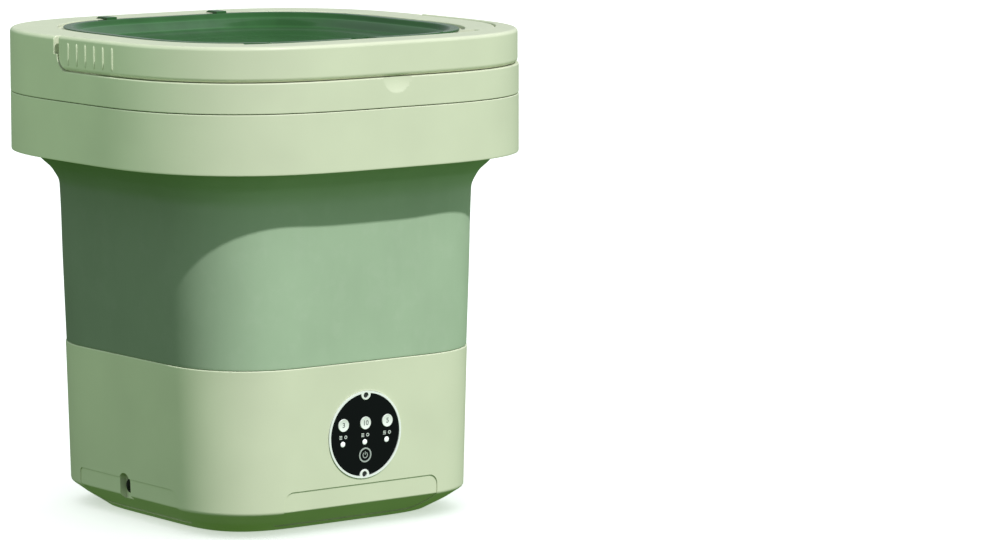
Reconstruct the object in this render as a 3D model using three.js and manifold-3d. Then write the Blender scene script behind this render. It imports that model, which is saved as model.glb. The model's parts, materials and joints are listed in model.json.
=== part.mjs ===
// Portable folding mini washer: base with wash tub and drive, soft bellows, sliding collar with
// rim, bail handle and dished lid. Units are millimetres, +Z up, front towards -Y; the feet
// stand on Z = 0 and the pulsator turns about the Z axis.
import * as THREE from 'three';
import { mergeVertices } from 'three/addons/utils/BufferGeometryUtils.js';
import Module from 'manifold-3d';

const wasm = await Module();
wasm.setup();
const { Manifold, Mesh: SolidMesh } = wasm;

// ---- general ----------------------------------------------------------------------------------
const GAP = 0.3; // clearance between neighbouring pieces
const RUN = 0.1; // radial running clearance
const SEG = 36; // points round a bowed outline
const WIDE = [-200, 200]; // span of a cutting tool that passes the whole product
const SIDES = [-1, 1]; // left, right
const DEG = Math.PI / 180;

// ---- collar heights and thickness ---------------------------------------------------------------
const Z_TOP = 366; // top of the handle
const Z_DECK = 365.3; // top of the rim's deck
const Z_HANDLE = 340; // level of the handle's underside
const Z_MID = Z_HANDLE - 3.3; // underside of the rim's mid plate
const Z_SEAM = 317.4; // seam between rim and skirt
const Z_FLANGE = Z_SEAM - 3.4; // underside of the skirt's top flange
const Z_SKIRT = 273; // lower edge of the skirt
const LEDGE_Z = [359.9, 362.9]; // ledge round the lid opening
const WALL = 3; // collar wall

// ---- plan forms: [half width X, half depth Y, bow exponent, added corner radius] ------------------
const OPEN_Y = 3.8; // centre of lid and lid opening
const OPEN_HALF_D = 137.8;
const OPEN_R = 47;
const LID_HALF_D = 133.6;
const DECK_HALF_W = 163.4;
const COLLAR_BOW = 4.2;
const COLLAR_HALF_D = 170.5;

const COLLAR = [170, COLLAR_HALF_D, COLLAR_BOW, 53.5];
const HANDLE = inset(COLLAR, 0.9);
const DECK = [DECK_HALF_W, 138.8, 4.4, 50]; // boundary between deck and handle
const OPEN = [136.5, OPEN_HALF_D, COLLAR_BOW, OPEN_R]; // lid opening
const LID = [132.5, LID_HALF_D, COLLAR_BOW, OPEN_R - 4];
const SLEEVE = [154.6, 154.6, 5.2, 56]; // bellows above the flare
const BASE_TOP = [126.6, 130.2, 15.5, 54];
const BASE_LOW = [122.8, 126.2, 15.5, 47];
const BASE_MID = [112.6, 112.8, 10.5, 31]; // half way down the slope of the underside
const BASE_FOOT = [102, 98.5, 6, 16];
const FOOT_INNER = inset(BASE_FOOT, 3.7);

// ---- handle and lid hinge -------------------------------------------------------------------------
const ARM_END = 22; // rear end of the handle arms (Y)
const NOTCH_END = 27; // rear wall of the handle's notch (Y)
const CORNER_Y = 9; // centre of the round at the handle's lower rear corners
const CORNER_Z = 353;
const CORNER_R = ARM_END - CORNER_Y;
const SLIT = 1.1; // slit between that round and the rim
const SHELF_Z = 352; // the notch is wide above this level
const PIVOT_Y = 16.5;
const PIVOT_Z = 359;
const PIN_R = 2.5;
const LID_Z = 365.2; // top of the lid's rim
const HINGE_X = [-51, 51];
const HINGE_Y = 144.6;
const HINGE_Z = 363.6;
const HINGE_PIN_R = 1.2;

// ---- base heights and thickness -------------------------------------------------------------------
const Z_BASE = 125.4; // top edge of the base shell
const Z_LOW = 18; // foot of the base's side walls
const Z_SLOPE = 9.5; // bend in the slope of the underside
const FOOT_Z = 0.5; // underside of the base's rim
const SHELL = 2.6; // base wall
const SOFT = 2.2; // bellows wall
const HEM_Z = 113; // lower end of the bellows, inside the base
const HEM_TOP = Z_HANDLE - 3.6; // upper end, under the rim
const TUB_FLOOR = 62;

// ---- screws: places [x, y] and sizes --------------------------------------------------------------
// rim screws stand in the space between collar wall and bellows
const RIM_SCREWS = [[161.3, 60], [161.3, -60], [-161.3, 60], [-161.3, -60]];
const POSTS = corners(80, 72); // posts that carry the tub
const COVER_SCREWS = [[92, 30], [-60, 88], [92, -30], [-60, -88]];
const FEET = corners(84, 52);
const RIM_SCREW = { headR: 3.4, headH: 2.4, shankR: 1.6, length: 24 };
const COVER_SCREW = { headR: 3.4, headH: 1.2, shankR: 1.5, length: 9 };
const TUB_SCREW = { headR: 3.6, headH: 2.2, shankR: 1.6, length: 46 };
const MOTOR_SCREW = { headR: 3.4, headH: 2.2, shankR: 1.6, length: 10.4 };

// ---- drive ----------------------------------------------------------------------------------------
const SHAFT_R = 4;
const BEARING_R = 11;
const PULLEY_R = 29.3; // belt line radius, pulsator pulley
const MOTOR_PULLEY_R = 8.8;
const MOTOR_SHAFT_R = 2.5;
const MOTOR_X = 62; // motor axis
const MOTOR_Y = 15;
const MOTOR_TOP = 46.2;
const MOTOR_EAR = 30; // motor screws to either side of the motor axis
const MOTOR_SCREWS = SIDES.map((side) => [MOTOR_X + side * MOTOR_EAR, MOTOR_Y]);
const BRACKET_Z = [46.5, 49.5];
const BELT_Z = [11.2, 16.8];

// ---- control panel, in the panel's own frame --------------------------------------------------------
const PANEL_Z = 70.4; // height of the panel's centre above the floor
const PANEL_R = 31;
const COLUMNS = [-20, 0, 20];
const KEYS = COLUMNS.map((x) => [x, 8.8]);
const LIGHTS = COLUMNS.map((x) => [x, -5.6]);
const KEY_R = 4.8;
const POWER_KEY = [0, -15.3];
const POWER_R = 5.9;
const PANEL_SCREWS = [[0, 29.8], [0, -29.8]];

// ---- drain and power inlet ----------------------------------------------------------------------------
const DRAIN_X = -85; // drain outlet in the tub floor
const DRAIN_Y = 9.5;
const DRAIN_Z = 25; // height of the drain plug's axis
const INLET_X = 60;
const INLET_Z = 38;

// ---- materials ----------------------------------------------------------------------------------------
const PALE = { color: 0xc4d4a8, roughness: 0.42, metalness: 0 };
const SAGE = { color: 0x93b096, roughness: 0.75, metalness: 0 };
const LID_GREEN = { color: 0x3e7a4c, roughness: 0.12, metalness: 0 };
const BLACK = { color: 0x0c0d0f, roughness: 0.15, metalness: 0 };
const DARK = { color: 0x26292b, roughness: 0.6, metalness: 0 };
const WHITE = { color: 0xf0f2f2, roughness: 0.35, metalness: 0 };
const STEEL = { color: 0xb5b8ba, roughness: 0.3, metalness: 1 };
const RUBBER = { color: 0x1c1d1d, roughness: 0.85, metalness: 0 };
const BOARD = { color: 0x1f5a35, roughness: 0.5, metalness: 0 };
const TUB_GREY = { color: 0xdfe4dc, roughness: 0.4, metalness: 0 };

// ---- plans ----------------------------------------------------------------------------------------------
// Points of a bowed rounded rectangle: a superellipse grown by a circle.
function outline([halfX, halfY, bow, radius], segments = SEG, centreY = 0) {
  const coreX = Math.max(halfX - radius, 0.5);
  const coreY = Math.max(halfY - radius, 0.5);
  const spread = 2 / Math.min(bow, 5); // this power leaves more points in the corners
  const points = [];
  for (let i = 0; i < segments; i++) {
    const angle = ((i + 0.5) / segments) * Math.PI * 2;
    const cos = Math.cos(angle);
    const sin = Math.sin(angle);
    const rayX = Math.sign(cos) * Math.abs(cos) ** spread;
    const rayY = Math.sign(sin) * Math.abs(sin) ** spread;
    const reach = (Math.abs(rayX) ** bow + Math.abs(rayY) ** bow) ** (-1 / bow);
    const x = coreX * rayX * reach;
    const y = coreY * rayY * reach;
    const normalX = (Math.sign(x) * Math.abs(x / coreX) ** (bow - 1)) / coreX;
    const normalY = (Math.sign(y) * Math.abs(y / coreY) ** (bow - 1)) / coreY;
    const length = Math.hypot(normalX, normalY);
    points.push([x + (radius * normalX) / length, y + (radius * normalY) / length + centreY]);
  }
  return points;
}

// A plan form drawn in by a distance; a negative distance lets it grow.
function inset([halfX, halfY, bow, radius], distance) {
  return [halfX - distance, halfY - distance, bow, Math.max(radius - distance, 2)];
}

function insetOutline(form, distance, centreY = 0) {
  return outline(inset(form, distance), SEG, centreY);
}

// Plan form of the leaning base wall at height z.
function baseAt(z) {
  return BASE_TOP.map((v, i) => BASE_LOW[i] + ((v - BASE_LOW[i]) * (z - Z_LOW)) / (Z_BASE - Z_LOW));
}

function corners(x, y) {
  return [[x, y], [-x, y], [x, -y], [-x, -y]];
}

function arc(radius, x, y, from, to, steps) {
  return Array.from({ length: steps + 1 }, (_, i) => {
    const angle = from + ((to - from) * i) / steps;
    return [x + radius * Math.cos(angle), y + radius * Math.sin(angle)];
  });
}

function circle(radius, sides, x = 0, y = 0) {
  return arc(radius, x, y, 0, 2 * Math.PI, sides).slice(0, -1);
}

// The span from near to far of the middle plane, on the right (1) or the left (-1).
function spanOn(side, near, far) {
  return side > 0 ? [near, far] : [-far, -near];
}

// ---- skins: indexed geometries -----------------------------------------------------------------------
const vectors = (points) => points.map(([x, y]) => new THREE.Vector2(x, y));

function shapeOf(points, holes = []) {
  const shape = new THREE.Shape(vectors(points));
  shape.holes.push(...holes.map((hole) => new THREE.Path(vectors(hole))));
  return shape;
}

function volume(geometry) {
  const { position } = geometry.attributes;
  const index = geometry.index.array;
  const [a, b, c] = [new THREE.Vector3(), new THREE.Vector3(), new THREE.Vector3()];
  let total = 0;
  for (let i = 0; i < index.length; i += 3) {
    a.fromBufferAttribute(position, index[i]);
    b.fromBufferAttribute(position, index[i + 1]);
    c.fromBufferAttribute(position, index[i + 2]);
    total += a.dot(b.cross(c)) / 6;
  }
  return total;
}

// One welded, outward-facing skin without normals, texture coordinates or empty triangles.
function clean(geometry) {
  geometry.deleteAttribute('normal');
  geometry.deleteAttribute('uv');
  const welded = mergeVertices(geometry, 1e-3);
  const index = welded.index.array;
  const keep = [];
  for (let i = 0; i < index.length; i += 3) {
    const [a, b, c] = [index[i], index[i + 1], index[i + 2]];
    if (a !== b && b !== c && a !== c) keep.push(a, b, c);
  }
  welded.setIndex(keep);
  if (volume(welded) < 0) {
    for (let i = 0; i < keep.length; i += 3) {
      [keep[i + 1], keep[i + 2]] = [keep[i + 2], keep[i + 1]];
    }
    welded.setIndex(keep);
  }
  return welded;
}

const middle = ([from, to]) => (from + to) / 2;
const extent = ([from, to]) => to - from;

function prism(points, zSpan, holes = []) {
  const options = { depth: extent(zSpan), bevelEnabled: false };
  const geometry = new THREE.ExtrudeGeometry(shapeOf(points, holes), options);
  return clean(geometry.translate(0, 0, zSpan[0]));
}

function cylinder(radius, span, sides) {
  return new THREE.CylinderGeometry(radius, radius, extent(span), sides);
}

function rodX(radius, xSpan, y, z, sides = 16) {
  const geometry = cylinder(radius, xSpan, sides).rotateZ(Math.PI / 2);
  return clean(geometry.translate(middle(xSpan), y, z));
}

function rodY(radius, ySpan, x, z, sides = 16) {
  return clean(cylinder(radius, ySpan, sides).translate(x, middle(ySpan), z));
}

function rodZ(radius, zSpan, x = 0, y = 0, sides = 14) {
  const geometry = cylinder(radius, zSpan, sides).rotateX(Math.PI / 2);
  return clean(geometry.translate(x, y, middle(zSpan)));
}

// One upright rod at each place.
function rodsZ(radius, zSpan, places, sides) {
  return places.map(([x, y]) => rodZ(radius, zSpan, x, y, sides));
}

function block(xSpan, ySpan, zSpan) {
  const geometry = new THREE.BoxGeometry(extent(xSpan), extent(ySpan), extent(zSpan));
  return clean(geometry.translate(middle(xSpan), middle(ySpan), middle(zSpan)));
}

// A lathe whose rings are re-shaped to plan forms. Stations are [z, form], or [z, null] for a
// point on the axis. The profile ends on the axis or closes on itself.
function loft(stations, centreY = 0) {
  const profile = stations.map(([z, form]) => new THREE.Vector2(form ? form[0] : 0, z));
  const geometry = new THREE.LatheGeometry(profile, SEG);
  stations.forEach(([z, form], j) => {
    const ring = form ? outline(form, SEG, centreY) : null;
    for (let i = 0; i <= SEG; i++) {
      const [x, y] = ring ? ring[i % SEG] : [0, centreY];
      geometry.attributes.position.setXYZ(i * stations.length + j, x, y, z);
    }
  });
  return clean(geometry);
}

// A lathe about the Z axis; profile entries are [radius, z].
function turned(profile, segments) {
  return clean(new THREE.LatheGeometry(vectors(profile), segments).rotateX(Math.PI / 2));
}

// A turned ring with a square section.
function turnedRing(inner, outer, [z0, z1], segments) {
  return turned([[inner, z0], [outer, z0], [outer, z1], [inner, z1], [inner, z0]], segments);
}

// A round section swept along a curve; without an inner radius it is solid.
function tube(path, outer, inner, steps, sides) {
  const section = shapeOf(circle(outer, sides), inner ? [circle(inner, sides)] : []);
  const options = { steps, extrudePath: path, bevelEnabled: false };
  return clean(new THREE.ExtrudeGeometry(section, options));
}

// A screw with its head on z = 0 and a shank that tapers upwards to a point.
function screwUp({ headR, headH, shankR, length }) {
  const tip = headH + length + 0.4;
  return turned([[0, 0], [headR, 0], [headR, headH], [shankR, headH], [0, tip]], 8);
}

// ---- solids: boolean work on skins or solids ------------------------------------------------------------
function solid(shape) {
  if (!shape.isBufferGeometry) return shape;
  const mesh = new SolidMesh({
    numProp: 3,
    vertProperties: Float32Array.from(shape.attributes.position.array),
    triVerts: Uint32Array.from(shape.index.array),
  });
  mesh.merge();
  return new Manifold(mesh);
}

function skin(shape) {
  if (shape.isBufferGeometry) return shape;
  const mesh = shape.getMesh();
  const geometry = new THREE.BufferGeometry();
  const positions = Float32Array.from(mesh.vertProperties);
  geometry.setAttribute('position', new THREE.BufferAttribute(positions, 3));
  geometry.setIndex(Array.from(mesh.triVerts));
  return clean(geometry);
}

const join = (...shapes) => shapes.map(solid).reduce((a, b) => a.add(b));
const cut = (shape, ...tools) => tools.map(solid).reduce((a, b) => a.subtract(b), solid(shape));
const common = (a, b) => solid(a).intersect(solid(b));

// ---- parts --------------------------------------------------------------------------------------------------
function part(name, shape, look, place = [0, 0, 0]) {
  const material = new THREE.MeshStandardMaterial({ ...look, name: `${name}_look` });
  const mesh = new THREE.Mesh(skin(shape), material);
  mesh.name = name;
  mesh.position.set(...place);
  return mesh;
}

// Equal numbered parts, one at each [x, y], all at height z.
function numbered(name, geometry, look, places, z = 0) {
  return places.map(([x, y], i) => part(`${name}_${i + 1}`, geometry.clone(), look, [x, y, z]));
}

// ---- collar: top ring ------------------------------------------------------------------------------------------
// Outer wall and deck, with the space for the handle taken out.
function rimShell() {
  const outer = prism(outline(COLLAR), [Z_SEAM + GAP, Z_DECK], [insetOutline(COLLAR, WALL)]);
  const opening = outline(OPEN, SEG, OPEN_Y);
  const deck = prism(insetOutline(COLLAR, 1), [Z_DECK - WALL, Z_DECK], [opening]);
  const toolZ = [Z_HANDLE - 60, Z_TOP + 40];
  const handleSpace = cut(
    prism(insetOutline(COLLAR, -5), [Z_HANDLE - GAP, Z_TOP + 20]),
    prism(outline(DECK), toolZ),
    block(WIDE, [NOTCH_END, 200], toolZ),
  );
  return cut(join(outer, deck), handleSpace);
}

// Upright wall inside the handle, mid plate below it, and the rear wall and round of its notch.
function handleSeat() {
  const upright = prism(outline(DECK), [Z_MID, Z_DECK], [insetOutline(DECK, WALL)]);
  const front = block(WIDE, [-200, NOTCH_END + 3], [300, 400]);
  const midToolZ = [Z_HANDLE - 9, Z_HANDLE + 3];
  const midHole = common(
    prism(insetOutline(SLEEVE, 4.6), midToolZ),
    prism(insetOutline(DECK, 1.5), midToolZ),
  );
  const midPlate = cut(prism(insetOutline(COLLAR, 1), [Z_MID, Z_HANDLE - GAP]), midHole);
  const notchBack = common(
    block([-169, 169], [NOTCH_END, NOTCH_END + 3], [Z_MID, Z_DECK]),
    prism(insetOutline(COLLAR, 1), [Z_HANDLE - 4, Z_DECK + 1], [insetOutline(COLLAR, 13)]),
  );
  // below the shelf the rim follows the round of the handle's corner
  const corner = cut(
    block(WIDE, [CORNER_Y, NOTCH_END + 1], [Z_HANDLE - 3, SHELF_Z]),
    rodX(CORNER_R + SLIT, WIDE, CORNER_Y, CORNER_Z, 40),
  );
  const band = cut(
    prism(outline(COLLAR), [Z_HANDLE - 8, Z_DECK]),
    prism(insetOutline(DECK, 1), [Z_HANDLE - 12, Z_TOP]),
  );
  return join(common(upright, front), midPlate, notchBack, common(corner, band));
}

function topRing() {
  const opening = outline(OPEN, SEG, OPEN_Y);
  const openingWall = prism(insetOutline(OPEN, -2.5, OPEN_Y), [349, Z_DECK], [opening]);
  const ledgeHole = insetOutline(OPEN, 6.5, OPEN_Y);
  const ledge = prism(insetOutline(OPEN, -1, OPEN_Y), LEDGE_Z, [ledgeHole]);
  const rim = cut(
    join(rimShell(), handleSeat(), openingWall, ledge),
    prism(opening, [LEDGE_Z[1], 380]),
    // the front strip of the opening's wall sits lower than the deck
    block([-112, 112], [-150, -118], [352, 380]),
  );

  const pocketFront = OPEN_Y + OPEN_HALF_D - 1.5;
  const bosses = [
    ...SIDES.map((side) => rodX(5.6, spanOn(side, 154, 162), PIVOT_Y, PIVOT_Z)),
    ...HINGE_X.map((x) => block([x - 11, x + 11], [pocketFront, HINGE_Y + 6], [357.5, Z_DECK])),
  ];
  const pivotBores = SIDES.map((side) => (
    rodX(PIN_R + GAP, spanOn(side, 150, 165), PIVOT_Y, PIVOT_Z, 12)
  ));
  const hingePockets = HINGE_X.flatMap((x) => [
    block([x - 5.2, x + 5.2], [134, HINGE_Y + 4.2], [359.6, 370]),
    rodX(HINGE_PIN_R + GAP, [x - 9, x + 9], HINGE_Y, HINGE_Z),
  ]);
  const screwHoles = rodsZ(2, [Z_HANDLE - 5, Z_HANDLE - 1.2], RIM_SCREWS, 8);
  // finger scoop in the front, under the handle
  const scoop = new THREE.SphereGeometry(39.5, 32, 20);
  scoop.translate(0, -COLLAR_HALF_D - 37.2, Z_HANDLE + 0.6);
  const tools = [...pivotBores, ...hingePockets, ...screwHoles, clean(scoop)];
  return part('top_ring', cut(join(rim, ...bosses), ...tools), PALE);
}

// ---- collar: skirt and clamp ring --------------------------------------------------------------------------------
// Wall, top flange and screw posts up to the clamp ring.
function skirtRing() {
  const at = (z, distance) => [z, inset(COLLAR, distance)];
  const wall = loft([
    [Z_SKIRT + 1.2, COLLAR], [Z_SEAM - 0.9, COLLAR], at(Z_SEAM - GAP, 0.8),
    at(Z_SEAM - GAP, 13), at(Z_FLANGE, 13), at(Z_FLANGE, WALL),
    at(Z_SKIRT + 4, WALL), at(Z_SKIRT + 1.5, WALL + 1.2), at(Z_SKIRT, WALL + 0.4),
    at(Z_SKIRT, 0.9), [Z_SKIRT + 1.2, COLLAR],
  ]);
  const posts = rodsZ(4, [Z_SEAM - 2, Z_HANDLE - 9.6], RIM_SCREWS, 10);
  const holes = rodsZ(2, [Z_SEAM - 6, Z_HANDLE], RIM_SCREWS, 8);
  return part('skirt_ring', cut(join(wall, ...posts), ...holes), PALE);
}

// Presses the bellows' upper hem against the rim.
function bellowsClampRing() {
  const plan = insetOutline(COLLAR, WALL + 0.6);
  const ring = prism(plan, [Z_HANDLE - 9.2, Z_HANDLE - 6.2], [insetOutline(SLEEVE, -0.6)]);
  const holes = rodsZ(2, [300, Z_HANDLE], RIM_SCREWS, 8);
  return part('bellows_clamp_ring', cut(ring, ...holes), WHITE);
}

function rimScrews() {
  const z = Z_FLANGE - GAP - RIM_SCREW.headH;
  return numbered('rim_screw', screwUp(RIM_SCREW), STEEL, RIM_SCREWS, z);
}

// ---- carry handle: bail round the front, hollow from below ---------------------------------------------------------
const GRIP = { count: 6, firstY: 8.6, pitch: 11.6, halfWidth: 1.2, sunk: 1.2, proud: 0.8 };

// Upright ribs on the outer faces of the arms.
function gripRibs() {
  const rightSide = outline(HANDLE, 720).filter(([x]) => x > 0);
  const zSpan = [Z_HANDLE + 4, Z_HANDLE + 21.2];
  const ribs = [];
  for (let i = 0; i < GRIP.count; i++) {
    const y = GRIP.firstY - i * GRIP.pitch;
    const closer = (best, p) => (Math.abs(p[1] - y) < Math.abs(best[1] - y) ? p : best);
    const [face] = rightSide.reduce(closer);
    for (const side of SIDES) {
      const xSpan = spanOn(side, face - GRIP.sunk, face + GRIP.proud);
      ribs.push(block(xSpan, [y - GRIP.halfWidth, y + GRIP.halfWidth], zSpan));
    }
  }
  return ribs;
}

function carryHandle() {
  const bottom = Z_HANDLE + 0.15;
  const inner = inset(DECK, -0.8);
  const bail = common(
    cut(
      prism(outline(HANDLE), [bottom, Z_TOP]),
      prism(outline(inner), [bottom - 1, Z_TOP + 1]),
    ),
    block(WIDE, [-200, ARM_END], [bottom - 1, Z_TOP + 1]),
  );
  const frontHollow = common(
    cut(
      prism(insetOutline(HANDLE, 3), [bottom - 1, Z_TOP - 3.2]),
      prism(insetOutline(inner, -3), [bottom - 2, Z_TOP]),
    ),
    block([-150, 150], [-200, -60], [bottom - 2, Z_TOP]),
  );
  // rounds off the lower rear corners
  const cornerTool = cut(
    block(WIDE, [CORNER_Y, ARM_END + 5], [bottom - 6, CORNER_Z]),
    rodX(CORNER_R, WIDE, CORNER_Y, CORNER_Z, 32),
  );
  const bores = SIDES.map((side) => (
    rodX(PIN_R + RUN, spanOn(side, 160, DECK_HALF_W + 4.2), PIVOT_Y, PIVOT_Z, 24)
  ));
  const body = cut(bail, frontHollow, cornerTool, ...bores);
  return part('carry_handle', join(body, ...gripRibs()), PALE);
}

function handlePin(side) {
  const length = 13.2;
  const chamfer = 0.4;
  const pin = turned([
    [0, 0], [PIN_R - chamfer, 0], [PIN_R, chamfer],
    [PIN_R, length - chamfer], [PIN_R - chamfer, length], [0, length],
  ], 20);
  const name = side > 0 ? 'handle_pin_right' : 'handle_pin_left';
  const mesh = part(name, pin, STEEL, [side * 154, PIVOT_Y, PIVOT_Z]);
  mesh.rotation.y = (side * Math.PI) / 2;
  return mesh;
}

// ---- lid: dished, hinged at the back ---------------------------------------------------------------------------------
function lid() {
  const at = (distance, drop) => [LID_Z - drop, inset(LID, distance)];
  const bowl = loft([
    // upper face, from the middle outwards
    [LID_Z - 16, null], at(34, 16), at(17, 12), at(10.5, 4), at(7, 0), at(0, 0),
    // lower face, back to the middle
    at(0, 2), at(8, 2), at(12.6, 5.6), at(19, 14), at(35, 18), [LID_Z - 18, null],
  ], OPEN_Y);
  const fingerNotch = rodZ(12.5, [LID_Z - 30, LID_Z + 5], 0, OPEN_Y - LID_HALF_D - 4.5, 28);
  const tabs = HINGE_X.flatMap((x) => {
    const xSpan = [x - 4.6, x + 4.6];
    return [
      block(xSpan, [OPEN_Y + LID_HALF_D - 6, HINGE_Y], [LID_Z - 1.9, LID_Z + 1.7]),
      rodX(2.7, xSpan, HINGE_Y, HINGE_Z),
    ];
  });
  const bores = HINGE_X.map((x) => rodX(HINGE_PIN_R + RUN, [x - 6, x + 6], HINGE_Y, HINGE_Z));
  return part('lid', cut(join(cut(bowl, fingerNotch), ...tabs), ...bores), LID_GREEN);
}

function lidPin(x) {
  const name = x > 0 ? 'lid_pin_right' : 'lid_pin_left';
  return part(name, rodX(HINGE_PIN_R, [-8.6, 8.6], 0, 0), STEEL, [x, HINGE_Y, HINGE_Z]);
}

// ---- bellows: one soft sleeve with a flare and a hem at each end -------------------------------------------------------
function bellows() {
  const tail = inset(baseAt(HEM_Z), SHELL + 0.8);
  const tailTop = inset(BASE_TOP, SHELL + 0.5);
  const lower = [126.1, 129.7, 15.5, 53.5];
  const flare1 = [130.6, 133.6, 12, 55];
  const flare2 = [137.6, 138.2, 9, 56];
  const flare3 = [147.4, 147.5, 6.6, 56.5];
  const hem = inset(SLEEVE, -5);
  return part('bellows', loft([
    // outer face, upwards
    [HEM_Z, tail], [Z_BASE + GAP, tailTop], [Z_BASE + GAP, lower],
    [246, flare1], [258, flare2], [267, flare3], [276, SLEEVE],
    [HEM_TOP - SOFT, SLEEVE], [HEM_TOP - SOFT, hem], [HEM_TOP, hem],
    // inner face, downwards
    [HEM_TOP, inset(SLEEVE, SOFT)], [276.6, inset(SLEEVE, SOFT)],
    [268.6, inset(flare3, SOFT)], [259, inset(flare2, SOFT)], [246.5, inset(flare1, SOFT)],
    [Z_BASE + 2.6, inset(lower, SOFT)], [Z_BASE, inset(tailTop, SOFT)],
    [HEM_Z, inset(tail, SOFT)], [HEM_Z, tail],
  ]), SAGE);
}

// ---- panel frame ------------------------------------------------------------------------------------------------------
// Local z is the outward normal of the leaning front wall, local y runs up it.
function panelFrame() {
  const group = new THREE.Group();
  group.name = 'panel_group';
  group.position.set(0, -baseAt(PANEL_Z)[1], PANEL_Z);
  group.rotation.x = Math.PI / 2 + Math.atan2(BASE_TOP[1] - BASE_LOW[1], Z_BASE - Z_LOW);
  group.updateMatrix();
  return group;
}
const panel = panelFrame();
const onPanel = (geometry) => geometry.applyMatrix4(panel.matrix);

// ---- base shell ---------------------------------------------------------------------------------------------------------
// An upright arch on the drain's centre line, extruded along X.
function arch(halfWidth, [bottom, top], xSpan) {
  const shape = shapeOf([
    [DRAIN_Y - halfWidth, bottom],
    [DRAIN_Y + halfWidth, bottom],
    ...arc(halfWidth, DRAIN_Y, top - halfWidth, 0, Math.PI, 8),
  ]);
  const options = { depth: extent(xSpan), bevelEnabled: false };
  const geometry = new THREE.ExtrudeGeometry(shape, options);
  // shape x, y and depth become Y, Z and X
  const turn = new THREE.Matrix4().set(0, 0, 1, xSpan[0], 1, 0, 0, 0, 0, 1, 0, 0, 0, 0, 0, 1);
  return clean(geometry.applyMatrix4(turn));
}

// Adds a lined, arched recess in the left wall, with the drain plug's bore.
function withDrainRecess(shell) {
  const baseBody = loft([
    [FOOT_Z, null], [FOOT_Z, BASE_FOOT], [Z_SLOPE, BASE_MID],
    [Z_LOW, BASE_LOW], [60, BASE_LOW], [60, null],
  ]);
  const liner = common(arch(9.6, [12.9, 38], [-130, -113.9]), baseBody);
  return cut(
    join(shell, liner),
    arch(7, [15.5, 35.4], [-150, -116.5]),
    rodX(4.5, [-124, -100], DRAIN_Y, DRAIN_Z, 20),
  );
}

// Adds a backing for the control panel, its shallow seat and the opening behind it.
function withPanelSeat(shell) {
  const wallBody = loft([[Z_LOW, null], [Z_LOW, BASE_LOW], [Z_BASE, BASE_TOP], [Z_BASE, null]]);
  const backing = common(onPanel(rodZ(PANEL_R + 4.2, [-3.8, -0.4], 0, 0, 24)), wallBody);
  return cut(
    join(shell, backing),
    onPanel(rodZ(PANEL_R + 2.1, [-1.6, 6], 0, 0, 40)),
    onPanel(rodZ(28.3, [-8, 2], 0, 0, 24)),
    ...rodsZ(1.3, [-3.2, 2], PANEL_SCREWS, 8).map(onPanel),
  );
}

function baseShell() {
  const floorHole = [68, 60, 4, 15];
  const hull = loft([
    // outer face, upwards
    [FOOT_Z, BASE_FOOT], [Z_SLOPE, BASE_MID], [Z_LOW, BASE_LOW], [Z_BASE, BASE_TOP],
    // inner face, down to the floor
    [Z_BASE, inset(BASE_TOP, SHELL)], [19, inset(BASE_LOW, SHELL)],
    [11.6, inset(BASE_MID, SHELL + 0.6)], [7.8, [104, 101, 7, 19]],
    // floor round its opening, then the foot rim
    [7.8, floorHole], [5.3, floorHole], [5.3, FOOT_INNER], [FOOT_Z, FOOT_INNER],
    [FOOT_Z, BASE_FOOT],
  ]);
  const posts = [
    ...rodsZ(6, [6, 49.4], POSTS, 8),
    ...rodsZ(4.6, [6, 17], COVER_SCREWS, 8),
  ];
  const holes = [
    ...rodsZ(2.1, [0, 60], POSTS, 6),
    ...rodsZ(4, [0, 8.2], POSTS, 8),
    ...rodsZ(1.9, [4, 15], COVER_SCREWS, 6),
  ];
  const fitted = withPanelSeat(withDrainRecess(cut(join(hull, ...posts), ...holes)));
  // power inlet boss in the back wall
  const boss = rodY(13, [116, 129.4], INLET_X, INLET_Z, 20);
  const bore = rodY(8.4, [104, 136], INLET_X, INLET_Z, 20);
  return part('base_shell', cut(join(fitted, boss), bore), PALE);
}

// ---- bottom cover, screws, feet --------------------------------------------------------------------------------------------
const COVER_Z = [2.5, 5];

function bottomCover() {
  return part('bottom_cover', cut(
    prism(insetOutline(FOOT_INNER, 0.5), COVER_Z),
    ...rodsZ(1.9, [0, 8], COVER_SCREWS, 6),
    ...rodsZ(3.8, [0, 3.9], COVER_SCREWS, 10),
    ...rodsZ(4, [0, 8], POSTS, 10),
  ), PALE);
}

function undersideParts() {
  const foot = turned([[0, 0], [7.2, 0], [8.4, 1], [8.4, 2.2], [0, 2.2]], 10);
  return [
    ...numbered('cover_screw', screwUp(COVER_SCREW), STEEL, COVER_SCREWS, COVER_Z[0]),
    ...numbered('tub_screw', screwUp(TUB_SCREW), STEEL, POSTS, 5.7),
    ...numbered('foot', foot, RUBBER, FEET),
  ];
}

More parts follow.
